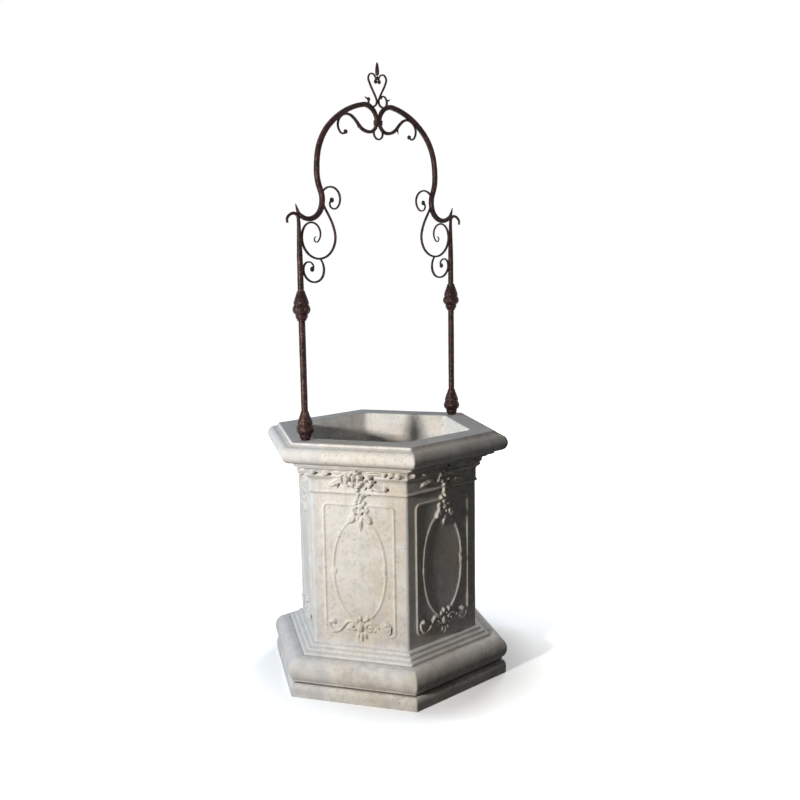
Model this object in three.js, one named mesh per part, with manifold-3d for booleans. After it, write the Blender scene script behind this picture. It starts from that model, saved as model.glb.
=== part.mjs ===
// A wishing well planter: a hexagonal cast-stone tub in three castings, with a wrought-iron
// overthrow standing on two opposite corners of its rim.
// Millimetres, +Z up. The origin is on the ground, under the middle of the well.
// The two posts stand on the X axis, and all the ironwork lies in the plane y = 0.

import * as THREE from 'three';
import { mergeVertices } from 'three/addons/utils/BufferGeometryUtils.js';
import Module from 'manifold-3d';

// Stone, plan sizes. A "face" size runs from the axis square to a flat of the hexagon.
const SIDES = 6;
const BODY_FACE = 286;
const MOUTH_WALL = 18;
const LINING_WALL = 39;
const RIM_WIDTH = 78;

// Base casting, from the ground up. A "reach" is how far a moulding stands out past the body.
const PLINTH_REACH = 95;
const PLINTH_HEIGHT = 44;
const PLINTH_ROUND = 8;
const LISTEL_REACH = 82;
const LISTEL_HEIGHT = 14;
const BASE_ROLL_REACH = 98;
const BASE_ROLL_DEPTH = 37;
const BASE_ROLL_HALF_HEIGHT = 42;
const STEP_COUNT = 3;
const STEP_TREAD = 14;
const STEP_RISE = 8;
const STEP_FALL = 3.5;
const FLOOR_THICKNESS = 50;
const DRAIN_RADIUS = 20;

// Body casting, from the base up
const PANEL_HEIGHT = 526;
const LEDGE_REACH = 7;
const LEDGE_HEIGHT = 9;
const BAND_REACH = 3;
const BAND_HEIGHT = 44;
const CORNICE_REACH = 17;
const CORNICE_HEIGHT = 9;
const CAVETTO_REACH = 18;
const CAVETTO_HEIGHT = 24;
const FILLET_STEP = 4;
const FILLET_HEIGHT = 11;

// Beads on each body face
const BEAD_HALF_WIDTH = 4.5;
const BEAD_PROUD = 5;
const BEAD_SUNK = 3;
const FRAME_SIDE_MARGIN = 45;
const FRAME_TOP_MARGIN = 37;
const FRAME_FOOT_MARGIN = 41;
const FRAME_CORNER = 16;
const FRAME_RETURN = 14;
const OVAL_HALF_WIDTH = 94;
const OVAL_HALF_HEIGHT = 177;

// Coping casting, from the body up
const QUIRK_REACH = 58;
const QUIRK_HEIGHT = 12;
const RIM_ROLL_DEPTH = 24;
const RIM_ROLL_HALF_HEIGHT = 27;
const RIM_ROLL_OVERHANG = 40;
const SHOULDER_HEIGHT = 5;
const ARRIS_HEIGHT = 8;
const ARRIS_ROUND = 4;

// Posts and their castings
const POST_PLACE_SHARE = 0.4;
const LOWER_POST_RADIUS = 11;
const TENON_RADIUS = 8;
const TENON_LENGTH = 55;
const UPPER_POST_RADIUS = 10.5;
const HOOK_TIP_RADIUS = 4;
const LOWER_POST_LENGTH = 430;
const UPPER_POST_LENGTH = 289;
const KNUCKLE_RADIUS = 29;
const KNUCKLE_HEIGHT = 95;
const KNUCKLE_SEAT_SHARE = 0.42;
const PETALS = 8;

// Forged bars: width in the plane of the ironwork, depth across it
const ARCH_WIDTH = 16.5;
const ARCH_DEPTH = 18;
const CROWN_WIDTH = 11;
const CROWN_DEPTH = 12.5;
const SCROLL_WIDTH = 6.5;
const SCROLL_DEPTH = 9;
const HEART_WIDTH = 5.5;
const HEART_DEPTH = 8;
const RING_WIDTH = 5.5;
const EYE_RADIUS = 8.5;
const SMALL_EYE_RADIUS = 7.5;
const COLLAR_WALL = 1.5;
const COLLAR_HEIGHT = 15;
const SPEAR_HEIGHT = 39;
const SPEAR_RADIUS = 6.8;
const LEAF_LENGTH = 22;

// Fits. Separate pieces of iron keep this clearance where they meet.
const FIT_GAP = 0.3;
const CUT_OVERRUN = 5;

// Facet counts
const ROUND_STEPS = 12;
const STEPS_PER_PETAL = 2;
const MOULDING_STEPS = 4;
const OVAL_STEPS = 28;
const FRAME_CORNER_STEPS = 2;
const TURN_STEP = 23;
const EYE_STEPS = 8;

// Arcs of the bars, right-hand side. Each is [turn in degrees, radius in shares of the half span].
// A negative turn is clockwise, seen from the front.
const ARCH_START_SHARES = [1.03, 0.113];
const ARCH_ARC_SHARES = [
  [-8, 0.6], [-30, 0.05], [-10, 0.2], [-96, 0.163], [-45, 0.21], [25, 0.39],
  [10, 0.85], [35, 0.51], [35, 0.8], [70, 0.15], [35, 0.14],
];
const CROWN_ARC_SHARES = [
  [85, 0.1], [50, 0.18], [-15, 0.34], [-95, 0.12], [-80, 0.09], [-100, 0.04],
];
const SIDE_START_SHARES = [0.563, 0.159];
const SIDE_ARC_SHARES = [
  [-125, 0.04], [-75, 0.06], [-105, 0.105], [-100, 0.12], [-50, 0.07], [-10, 0.87],
  [20, 0.48], [185, 0.2], [45, 0.165], [125, 0.105], [70, 0.095], [210, 0.025],
];
const LOWER_ARC_SHARES = [
  [65, 0.14], [45, 0.1], [95, 0.13], [45, 0.09], [50, 0.06], [80, 0.06], [95, 0.025],
];
const HOOK_START_SHARES = [1, -0.087];
const HOOK_ARC_SHARES = [[-5, 0.8], [-85, 0.05], [-50, 0.09], [-45, 0.045], [-15, 0.08]];
const HEART_START_SHARES = [0.023, 1.28];
const HEART_ARC_SHARES = [
  [-35, 0.04], [-25, 0.065], [-170, 0.047], [-10, 0.61], [10, 0.48], [110, 0.05],
];
const LEAF_START_SHARES = [0.107, 1.043];
const LEAF_ARC_SHARES = [[10, 0.25], [65, 0.06], [80, 0.04]];
const LEAF_TIP_SHARE = 0.3;
const LOOP_START_SHARES = [0.05, 0.842];
const LOOP_ARC_SHARES = [[-20, 0.12]];
const ARCH_HEADING = -106;
const SIDE_HEADING = -20;
const LOWER_HEADING = -135;
const HEART_HEADING = 115;
const LEAF_HEADING = 70;
const HOOK_HEADING = 90;
const LEAF_TIP_HEADING = 20;
const LOOP_HEADING = -70;

// Bar thickness along its length, as [share of the length, share of the full size]
const ARCH_TAPER_SHARES = [[0, 0.2], [0.03, 0.5], [0.06, 0.8], [0.13, 1], [0.88, 1], [1, 0.75]];
const CROWN_TAPER_SHARES = [[0, 1], [0.3, 1], [0.5, 0.8], [0.75, 0.65], [1, 0.5]];
const SIDE_TAPER_SHARES = [[0, 0.7], [0.15, 0.9], [0.4, 1], [0.75, 1], [0.9, 0.8], [1, 0.5]];
const LOWER_TAPER_SHARES = [[0, 0.75], [0.2, 1], [0.7, 0.95], [1, 0.65]];
const HEART_TAPER_SHARES = [[0, 0.8], [0.5, 1], [1, 1]];
const LEAF_TAPER_SHARES = [[0, 1.2], [0.5, 1], [1, 0.8]];
const LEAF_TIP_TAPER_SHARES = [[0, 1], [0.5, 0.7], [1, 0.15]];
const FULL_SHARES = [[0, 1], [1, 1]];

// Radius of the upper post, as [share of the way to the hook, share of its radius]
const UPPER_POST_TAPER_SHARES = [[0, 1], [0.65, 0.9], [1, 0.6]];

// Section of a forged bar: a rectangle with its corners hammered down, in shares of its halves
const BAR_SECTION_SHARES = [
  [1, 0.7], [0.7, 1], [-0.7, 1], [-1, 0.7], [-1, -0.7], [-0.7, -1], [0.7, -1], [1, -0.7],
];
const BEAD_SECTION_SHARES = [[1, -1], [0.6, 1], [-0.6, 1], [-1, -1]];

// Outline of a knuckle: [radius, height, petal depth], in shares of its radius and height
const KNUCKLE_OUTLINE_SHARES = [
  [0.46, 0, 0], [0.52, 0.04, 0], [0.67, 0.09, 0.06], [0.75, 0.15, 0.08], [0.7, 0.2, 0.03],
  [0.9, 0.27, 0.07], [1, 0.36, 0.08], [0.94, 0.45, 0.07], [0.8, 0.53, 0.03],
  [0.88, 0.6, 0.1], [0.78, 0.71, 0.09], [0.66, 0.81, 0.06], [0.52, 0.91, 0], [0.47, 1, 0],
];

// The spear: [radius, height] in shares of its radius and of its height above the lobes
const SPEAR_OUTLINE_SHARES = [
  [0.9, -0.08], [1, 0.05], [1, 0.3], [0.85, 0.5], [0.6, 0.75], [0.35, 0.92], [0, 1],
];

// Finishes
const PALE_STONE = new THREE.MeshStandardMaterial({ color: 0xd8d0c4, roughness: 0.9, metalness: 0 });
const WORN_STONE = new THREE.MeshStandardMaterial({ color: 0xcfc8be, roughness: 0.92, metalness: 0 });
const RIM_STONE = new THREE.MeshStandardMaterial({ color: 0xdcd6cc, roughness: 0.85, metalness: 0 });
const FORGED_IRON = new THREE.MeshStandardMaterial({ color: 0x3a2422, roughness: 0.5, metalness: 0.75 });
const CAST_IRON = new THREE.MeshStandardMaterial({ color: 0x41231f, roughness: 0.55, metalness: 0.7 });

// Places worked out from the sizes above
const FLAT_TO_CORNER = 1 / Math.cos(Math.PI / SIDES);
const MOUTH_FACE = BODY_FACE - MOUTH_WALL;
const LINING_FACE = BODY_FACE - LINING_WALL;
const RIM_FACE = MOUTH_FACE + RIM_WIDTH;
const BASE_ROLL_Z = PLINTH_HEIGHT + LISTEL_HEIGHT + BASE_ROLL_HALF_HEIGHT * Math.SQRT1_2;
const STEPS_Z = BASE_ROLL_Z + BASE_ROLL_HALF_HEIGHT;
const BASE_TOP = STEPS_Z + STEP_COUNT * (STEP_RISE + STEP_FALL);
const LEDGE_Z = BASE_TOP + PANEL_HEIGHT;
const BAND_Z = LEDGE_Z + LEDGE_HEIGHT;
const CORNICE_Z = BAND_Z + BAND_HEIGHT;
const CAVETTO_Z = CORNICE_Z + CORNICE_HEIGHT;
const FILLET_Z = CAVETTO_Z + CAVETTO_HEIGHT;
const BODY_TOP = FILLET_Z + FILLET_HEIGHT;
const RIM_ROLL_Z = BODY_TOP + QUIRK_HEIGHT + RIM_ROLL_HALF_HEIGHT;
const RIM_TOP = RIM_ROLL_Z + RIM_ROLL_HALF_HEIGHT + SHOULDER_HEIGHT + ARRIS_HEIGHT;
const HALF_SPAN = (MOUTH_FACE + RIM_WIDTH * POST_PLACE_SHARE) * FLAT_TO_CORNER;
const MID_KNUCKLE_Z = RIM_TOP + LOWER_POST_LENGTH;
const SPRING_Z = MID_KNUCKLE_Z + UPPER_POST_LENGTH;

const wasm = await Module();
wasm.setup();

// The solid of a closed mesh, for joins and cuts
function solidOf(geometry) {
  const bare = geometry.clone();
  bare.deleteAttribute('normal');
  bare.deleteAttribute('uv');
  const merged = mergeVertices(bare);
  const vertProperties = new Float32Array(merged.attributes.position.array);
  const triVerts = new Uint32Array(merged.index.array);
  return new wasm.Manifold(new wasm.Mesh({ numProp: 3, vertProperties, triVerts }));
}

function geometryOf(solid) {
  const cut = solid.getMesh();
  const geometry = new THREE.BufferGeometry();
  geometry.setAttribute('position', new THREE.BufferAttribute(new Float32Array(cut.vertProperties), 3));
  geometry.setIndex(new THREE.BufferAttribute(new Uint32Array(cut.triVerts), 1));
  geometry.computeVertexNormals();
  return geometry;
}

// A moulding outline in (face, height), carried round the hexagon with mitred corners
function hexagonOf(outline) {
  const points = outline.getPoints(MOULDING_STEPS);
  const corners = points.map((point) => new THREE.Vector2(point.x * FLAT_TO_CORNER, point.y));
  const ring = new THREE.LatheGeometry(corners, SIDES, Math.PI / 2);
  ring.rotateX(Math.PI / 2);
  return ring;
}

// A turned piece on the Z axis, from [radius, height] pairs that start and end on the axis
function turned(pairs, steps) {
  const points = pairs.map(([radius, height]) => new THREE.Vector2(radius, height));
  const piece = new THREE.LatheGeometry(points, steps);
  piece.rotateX(Math.PI / 2);
  return piece;
}

// Rings of equal point counts, joined into one closed skin
function skinOf(rings, closed) {
  const count = rings[0].length;
  const positions = rings.flat(2);
  const index = [];
  const lastRing = closed ? rings.length : rings.length - 1;
  for (let ring = 0; ring < lastRing; ring += 1) {
    const here = ring * count;
    const next = ((ring + 1) % rings.length) * count;
    for (let side = 0; side < count; side += 1) {
      const turn = (side + 1) % count;
      index.push(here + side, here + turn, next + turn);
      index.push(here + side, next + turn, next + side);
    }
  }
  if (!closed) {
    const end = (rings.length - 1) * count;
    for (let side = 1; side < count - 1; side += 1) {
      index.push(0, side + 1, side);
      index.push(end, end + side, end + side + 1);
    }
  }
  const geometry = new THREE.BufferGeometry();
  geometry.setAttribute('position', new THREE.Float32BufferAttribute(positions, 3));
  geometry.setIndex(index);
  geometry.computeVertexNormals();
  return geometry;
}

// A run of arcs in the XZ plane, each carrying on along the direction of the last
function arcRun(start, heading, arcShares) {
  const points = [start.clone()];
  let direction = THREE.MathUtils.degToRad(heading);
  for (const [turn, radiusShare] of arcShares) {
    const steps = Math.max(2, Math.ceil(Math.abs(turn) / TURN_STEP));
    const bend = THREE.MathUtils.degToRad(turn) / steps;
    const chord = 2 * HALF_SPAN * radiusShare * Math.sin(Math.abs(bend) / 2);
    for (let step = 0; step < steps; step += 1) {
      const last = points[points.length - 1];
      const along = direction + bend / 2;
      points.push(new THREE.Vector2(last.x + chord * Math.cos(along), last.y + chord * Math.sin(along)));
      direction += bend;
    }
  }
  return points;
}

function headingAfter(heading, arcShares) {
  return arcShares.reduce((sum, [turn]) => sum + turn, heading);
}

// A place in the ironwork, from shares of the half span measured from the spring line
function ironPoint([xShare, zShare]) {
  return new THREE.Vector2(HALF_SPAN * xShare, SPRING_Z + HALF_SPAN * zShare);
}

function mirrored(points, side) {
  return points.map((point) => new THREE.Vector2(side * point.x, point.y));
}

// The value of a [share along, share of size] table at a share along
function taperAt(shares, along) {
  const upper = shares.findIndex(([place]) => place >= along);
  if (upper <= 0) {
    return shares[0][1];
  }
  const [lowPlace, lowSize] = shares[upper - 1];
  const [highPlace, highSize] = shares[upper];
  return THREE.MathUtils.lerp(lowSize, highSize, (along - lowPlace) / (highPlace - lowPlace));
}

// The direction of a line at one of its points
function directionAt(points, place, closed) {
  const count = points.length;
  const before = closed ? points[(place + count - 1) % count] : points[Math.max(place - 1, 0)];
  const after = closed ? points[(place + 1) % count] : points[Math.min(place + 1, count - 1)];
  return after.clone().sub(before).normalize();
}

// A bar forged along points in the XZ plane. taper gives the share of the full section.
function forgedBar(
  points, width, depth, taperShares, extra = 0, closed = false, section = BAR_SECTION_SHARES,
) {
  const lengths = [0];
  for (let place = 1; place < points.length; place += 1) {
    lengths.push(lengths[place - 1] + points[place].distanceTo(points[place - 1]));
  }
  const whole = lengths[lengths.length - 1];
  const rings = points.map((point, place) => {
    const along = directionAt(points, place, closed);
    const share = taperAt(taperShares, lengths[place] / whole);
    const halfWidth = width * share / 2 + extra;
    const halfDepth = depth * share / 2 + extra;
    return section.map(([across, through]) => [
      point.x + along.y * halfWidth * across,
      halfDepth * through,
      point.y - along.x * halfWidth * across,
    ]);
  });
  return skinOf(rings, closed);
}

// A flattened ball at the end of a scroll
function scrollEye(place, radius, depth) {
  const ball = new THREE.SphereGeometry(radius, EYE_STEPS, EYE_STEPS / 2);
  ball.rotateX(Math.PI / 2);
  ball.scale(1, depth / (2 * radius), 1);
  ball.translate(place.x, 0, place.y);
  return solidOf(ball);
}

// Stone castings

function basePlinth() {
  const outline = new THREE.Path();
  const rollFace = BODY_FACE + BASE_ROLL_REACH - BASE_ROLL_DEPTH;
  const plinthFace = BODY_FACE + PLINTH_REACH;
  const listelFace = BODY_FACE + LISTEL_REACH;
  outline.moveTo(0, 0);
  outline.lineTo(plinthFace, 0);
  outline.absarc(plinthFace - PLINTH_ROUND, PLINTH_HEIGHT - PLINTH_ROUND, PLINTH_ROUND, 0, Math.PI / 2);
  outline.lineTo(listelFace, PLINTH_HEIGHT);
  outline.lineTo(listelFace, PLINTH_HEIGHT + LISTEL_HEIGHT);
  outline.absellipse(
    rollFace, BASE_ROLL_Z, BASE_ROLL_DEPTH, BASE_ROLL_HALF_HEIGHT, -Math.PI / 4, Math.PI / 2,
  );
  for (let step = 0; step < STEP_COUNT; step += 1) {
    const riserFace = BODY_FACE + (STEP_COUNT - step) * STEP_TREAD;
    const riserFoot = STEPS_Z + step * (STEP_RISE + STEP_FALL);
    outline.lineTo(riserFace, riserFoot);
    outline.lineTo(riserFace, riserFoot + STEP_RISE);
  }
  outline.lineTo(BODY_FACE, BASE_TOP);
  outline.lineTo(LINING_FACE, BASE_TOP);
  outline.lineTo(LINING_FACE, FLOOR_THICKNESS);
  outline.lineTo(0, FLOOR_THICKNESS);
  const drain = new THREE.CylinderGeometry(
    DRAIN_RADIUS, DRAIN_RADIUS, FLOOR_THICKNESS + 2 * CUT_OVERRUN, ROUND_STEPS,
  );
  drain.rotateX(Math.PI / 2);
  drain.translate(0, 0, FLOOR_THICKNESS / 2);
  return geometryOf(solidOf(hexagonOf(outline)).subtract(solidOf(drain)));
}

// The raised frame of a panel: up one side, over the rounded top corners and down the other
function frameLine() {
  const halfWidth = BODY_FACE * Math.tan(Math.PI / SIDES) - FRAME_SIDE_MARGIN;
  const top = LEDGE_Z - FRAME_TOP_MARGIN;
  const foot = BASE_TOP + FRAME_FOOT_MARGIN;
  const line = new THREE.Path();
  line.moveTo(halfWidth - FRAME_CORNER - FRAME_RETURN, foot);
  line.lineTo(halfWidth - FRAME_CORNER, foot);
  line.absarc(halfWidth - FRAME_CORNER, foot + FRAME_CORNER, FRAME_CORNER, -Math.PI / 2, 0);
  line.absarc(halfWidth - FRAME_CORNER, top - FRAME_CORNER, FRAME_CORNER, 0, Math.PI / 2);
  line.absarc(FRAME_CORNER - halfWidth, top - FRAME_CORNER, FRAME_CORNER, Math.PI / 2, Math.PI);
  line.absarc(FRAME_CORNER - halfWidth, foot + FRAME_CORNER, FRAME_CORNER, Math.PI, Math.PI * 3 / 2);
  line.lineTo(FRAME_CORNER + FRAME_RETURN - halfWidth, foot);
  return line.getPoints(FRAME_CORNER_STEPS);
}

function ovalLine() {
  const middle = (LEDGE_Z - FRAME_TOP_MARGIN + BASE_TOP + FRAME_FOOT_MARGIN) / 2;
  const oval = new THREE.EllipseCurve(0, middle, OVAL_HALF_WIDTH, OVAL_HALF_HEIGHT);
  return oval.getPoints(OVAL_STEPS).slice(0, -1);
}

function beadAlong(line, closed) {
  const bead = forgedBar(
    line, 2 * BEAD_HALF_WIDTH, BEAD_PROUD + BEAD_SUNK, FULL_SHARES, 0, closed, BEAD_SECTION_SHARES,
  );
  bead.translate(0, BODY_FACE + (BEAD_PROUD - BEAD_SUNK) / 2, 0);
  return bead;
}

function wellBody() {
  const outline = new THREE.Path();
  const bandFace = BODY_FACE + BAND_REACH;
  const corniceFace = BODY_FACE + CORNICE_REACH;
  const cavettoFace = corniceFace - BAND_REACH;
  const filletFace = cavettoFace + CAVETTO_REACH + FILLET_STEP;
  outline.moveTo(LINING_FACE, BASE_TOP);
  outline.lineTo(BODY_FACE, BASE_TOP);
  outline.lineTo(BODY_FACE, LEDGE_Z);
  outline.lineTo(BODY_FACE + LEDGE_REACH, LEDGE_Z);
  outline.lineTo(BODY_FACE + LEDGE_REACH, LEDGE_Z + LEDGE_HEIGHT / 2);
  outline.lineTo(bandFace, BAND_Z);
  outline.lineTo(bandFace, CORNICE_Z);
  outline.lineTo(corniceFace, CORNICE_Z + CORNICE_HEIGHT / 3);
  outline.lineTo(corniceFace, CAVETTO_Z);
  outline.absellipse(
    cavettoFace + CAVETTO_REACH, CAVETTO_Z, CAVETTO_REACH, CAVETTO_HEIGHT, Math.PI, Math.PI / 2, true,
  );
  outline.lineTo(filletFace, FILLET_Z);
  outline.lineTo(filletFace, BODY_TOP);
  outline.lineTo(MOUTH_FACE, BODY_TOP);
  outline.lineTo(MOUTH_FACE, CORNICE_Z);
  outline.lineTo(LINING_FACE, BAND_Z);
  outline.lineTo(LINING_FACE, BASE_TOP);
  const beads = [beadAlong(frameLine(), false), beadAlong(ovalLine(), true)];
  let body = solidOf(hexagonOf(outline));
  for (let side = 0; side < SIDES; side += 1) {
    for (const bead of beads) {
      const placed = bead.clone();
      placed.rotateZ((side * 2 * Math.PI) / SIDES);
      body = body.add(solidOf(placed));
    }
  }
  return geometryOf(body);
}

function copingRing() {
  const rollFace = RIM_FACE + RIM_ROLL_OVERHANG - RIM_ROLL_DEPTH;
  const quirkFace = BODY_FACE + QUIRK_REACH;
  const arrisFoot = RIM_TOP - ARRIS_HEIGHT;
  const outline = new THREE.Path();
  outline.moveTo(MOUTH_FACE, BODY_TOP);
  outline.lineTo(quirkFace, BODY_TOP);
  outline.lineTo(quirkFace, BODY_TOP + QUIRK_HEIGHT);
  outline.absellipse(
    rollFace, RIM_ROLL_Z, RIM_ROLL_DEPTH, RIM_ROLL_HALF_HEIGHT, -Math.PI / 2, Math.PI / 2,
  );
  outline.lineTo(RIM_FACE + ARRIS_ROUND, arrisFoot);
  outline.absarc(RIM_FACE, RIM_TOP - ARRIS_ROUND, ARRIS_ROUND, 0, Math.PI / 2);
  outline.lineTo(MOUTH_FACE, RIM_TOP);
  outline.lineTo(MOUTH_FACE, BODY_TOP);
  let coping = solidOf(hexagonOf(outline));
  for (const side of [-1, 1]) {
    const socket = new THREE.CylinderGeometry(
      TENON_RADIUS + FIT_GAP, TENON_RADIUS + FIT_GAP, TENON_LENGTH + FIT_GAP + CUT_OVERRUN, ROUND_STEPS,
    );
    socket.rotateX(Math.PI / 2);
    socket.translate(side * HALF_SPAN, 0, RIM_TOP - (TENON_LENGTH + FIT_GAP - CUT_OVERRUN) / 2);
    coping = coping.subtract(solidOf(socket));
  }
  return geometryOf(coping);
}

// Posts

function circlePlaces(steps) {
  return Array.from({ length: steps }, (unused, step) => {
    const angle = (step * 2 * Math.PI) / steps;
    return [Math.cos(angle), Math.sin(angle)];
  });
}

function lowerPost(side) {
  const post = turned([
    [0, RIM_TOP - TENON_LENGTH],
    [TENON_RADIUS, RIM_TOP - TENON_LENGTH],
    [TENON_RADIUS, RIM_TOP],
    [LOWER_POST_RADIUS, RIM_TOP],
    [LOWER_POST_RADIUS, MID_KNUCKLE_Z],
    [0, MID_KNUCKLE_Z],
  ], ROUND_STEPS);
  post.translate(side * HALF_SPAN, 0, 0);
  return post;
}

// Radius of the straight part of the upper post at a height
function upperPostRadius(height) {
  const hookZ = ironPoint(HOOK_START_SHARES).y;
  const along = (height - MID_KNUCKLE_Z) / (hookZ - MID_KNUCKLE_Z);
  return UPPER_POST_RADIUS * taperAt(UPPER_POST_TAPER_SHARES, Math.min(along, 1));
}

// The upper post rises straight, then turns out and down in a hook.
function upperPost(side, extra = 0) {
  const hook = arcRun(ironPoint(HOOK_START_SHARES), HOOK_HEADING, HOOK_ARC_SHARES);
  const straight = UPPER_POST_TAPER_SHARES.slice(0, -1).map(([along]) => (
    new THREE.Vector2(HALF_SPAN, THREE.MathUtils.lerp(MID_KNUCKLE_Z + FIT_GAP, hook[0].y, along))
  ));
  const points = mirrored([...straight, ...hook], side);
  const radii = straight.map((point) => upperPostRadius(point.y));
  const hookRadius = upperPostRadius(hook[0].y);
  hook.forEach((point, place) => {
    radii.push(THREE.MathUtils.lerp(hookRadius, HOOK_TIP_RADIUS, place / (hook.length - 1)));
  });
  const rings = points.map((point, place) => {
    const along = directionAt(points, place, false);
    return circlePlaces(ROUND_STEPS).map(([across, through]) => {
      const reach = (radii[place] + extra) * across;
      return [point.x + along.y * reach, (radii[place] + extra) * through, point.y - along.x * reach];
    });
  });
  return skinOf(rings, false);
}

// A petalled casting with a stepped bore for the post
function knuckle(side, footZ, bores) {
  const places = circlePlaces(PETALS * STEPS_PER_PETAL);
  const outer = KNUCKLE_OUTLINE_SHARES.map(([radiusShare, heightShare, petalShare]) => (
    places.map(([across, through], step) => {
      const hollow = (step % STEPS_PER_PETAL) === 0 ? 0 : petalShare;
      const radius = KNUCKLE_RADIUS * radiusShare * (1 - hollow);
      return [side * HALF_SPAN + radius * across, radius * through, footZ + KNUCKLE_HEIGHT * heightShare];
    })
  ));
  const inner = bores.map(([radius, height]) => (
    places.map(([across, through]) => [side * HALF_SPAN + radius * across, radius * through, height])
  ));
  return skinOf([...outer, ...inner], true);
}

function footKnuckle(side) {
  const bore = LOWER_POST_RADIUS + FIT_GAP;
  return knuckle(side, RIM_TOP, [[bore, RIM_TOP + KNUCKLE_HEIGHT], [bore, RIM_TOP]]);
}

function midKnuckle(side) {
  const foot = MID_KNUCKLE_Z - KNUCKLE_HEIGHT * KNUCKLE_SEAT_SHARE;
  const seat = MID_KNUCKLE_Z + FIT_GAP;
  const upperBore = UPPER_POST_RADIUS + FIT_GAP;
  const lowerBore = LOWER_POST_RADIUS + FIT_GAP;
  return knuckle(side, foot, [
    [upperBore, foot + KNUCKLE_HEIGHT], [upperBore, seat], [lowerBore, seat], [lowerBore, foot],
  ]);
}

// Forged ironwork

function archPoints() {
  return arcRun(ironPoint(ARCH_START_SHARES), ARCH_HEADING, ARCH_ARC_SHARES);
}

// The belly of the side scroll leans on the post, and its inner curl hangs under the arch's dip.
function sidePoints() {
  const run = arcRun(ironPoint(SIDE_START_SHARES), SIDE_HEADING, SIDE_ARC_SHARES);
  const belly = run.reduce((far, point) => (point.x > far.x ? point : far));
  const curlTop = run.slice(run.indexOf(belly)).reduce((high, point) => (point.y > high.y ? point : high));
  const dip = archPoints().reduce((low, point) => (point.y < low.y ? point : low));
  const room = SCROLL_WIDTH / 2 + FIT_GAP;
  const shift = new THREE.Vector2(
    HALF_SPAN - upperPostRadius(belly.y) - room - belly.x,
    dip.y - ARCH_WIDTH / 2 - room - curlTop.y,
  );
  return run.map((point) => point.clone().add(shift));
}

// The lower scroll starts under the belly of the side scroll and leans on the post too.
function lowerPoints() {
  const run = arcRun(new THREE.Vector2(0, 0), LOWER_HEADING, LOWER_ARC_SHARES);
  const reach = Math.max(...run.map((point) => point.x));
  const belly = sidePoints();
  const lowest = belly.reduce((low, point) => (point.y < low.y ? point : low));
  const face = HALF_SPAN - upperPostRadius(lowest.y) - SCROLL_WIDTH / 2 - FIT_GAP;
  const startX = face - reach;
  const over = belly.reduce((near, point) => {
    const nearer = Math.abs(point.x - startX) + point.y < Math.abs(near.x - startX) + near.y;
    return nearer ? point : near;
  });
  return run.map((point) => new THREE.Vector2(point.x + startX, point.y + over.y));
}

function crownPoints() {
  const heading = headingAfter(ARCH_HEADING, ARCH_ARC_SHARES);
  const end = archPoints().at(-1);
  const angle = THREE.MathUtils.degToRad(heading);
  const start = new THREE.Vector2(end.x + FIT_GAP * Math.cos(angle), end.y + FIT_GAP * Math.sin(angle));
  return arcRun(start, heading, CROWN_ARC_SHARES);
}

function heartPoints() {
  return arcRun(ironPoint(HEART_START_SHARES), HEART_HEADING, HEART_ARC_SHARES);
}

function leafPoints() {
  return arcRun(ironPoint(LEAF_START_SHARES), LEAF_HEADING, LEAF_ARC_SHARES);
}

// Each bar as a solid, grown by a clearance where it is used to cut a seat for itself
function archSolid(side, extra = 0) {
  const line = mirrored(archPoints(), side);
  return solidOf(forgedBar(line, ARCH_WIDTH, ARCH_DEPTH, ARCH_TAPER_SHARES, extra));
}

function crownSolid(side, extra = 0) {
  const line = mirrored(crownPoints(), side);
  return solidOf(forgedBar(line, CROWN_WIDTH, CROWN_DEPTH, CROWN_TAPER_SHARES, extra));
}

function sideSolid(side, extra = 0) {
  const line = mirrored(sidePoints(), side);
  return solidOf(forgedBar(line, SCROLL_WIDTH, SCROLL_DEPTH, SIDE_TAPER_SHARES, extra));
}

function heartSolid(side, extra = 0) {
  const line = mirrored(heartPoints(), side);
  return solidOf(forgedBar(line, HEART_WIDTH, HEART_DEPTH, HEART_TAPER_SHARES, extra));
}

function archBar(side) {
  const seats = [sideSolid(side, FIT_GAP), crownSolid(side, FIT_GAP), solidOf(upperPost(side, FIT_GAP))];
  return geometryOf(seats.reduce((left, seat) => left.subtract(seat), archSolid(side)));
}

function crownScroll(side) {
  const end = mirrored(crownPoints(), side).at(-1);
  return geometryOf(crownSolid(side).add(scrollEye(end, SMALL_EYE_RADIUS, CROWN_DEPTH)));
}

function sideScroll(side) {
  const start = mirrored(sidePoints(), side)[0];
  return geometryOf(sideSolid(side).add(scrollEye(start, EYE_RADIUS, SCROLL_DEPTH)));
}

function lowerScroll(side) {
  const points = mirrored(lowerPoints(), side);
  const bar = solidOf(forgedBar(points, SCROLL_WIDTH, SCROLL_DEPTH, LOWER_TAPER_SHARES));
  const eyed = bar.add(scrollEye(points.at(-1), EYE_RADIUS, SCROLL_DEPTH));
  return geometryOf(eyed.subtract(sideSolid(side, FIT_GAP)));
}

// Half of the heart: a bulb, a lobe, a stem, and a foot that flares onto the arch bar
function heartHalf(side) {
  const start = mirrored(heartPoints(), side)[0];
  const half = heartSolid(side).add(scrollEye(start, SMALL_EYE_RADIUS, HEART_DEPTH));
  return geometryOf(half.subtract(archSolid(side, FIT_GAP)));
}

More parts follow.
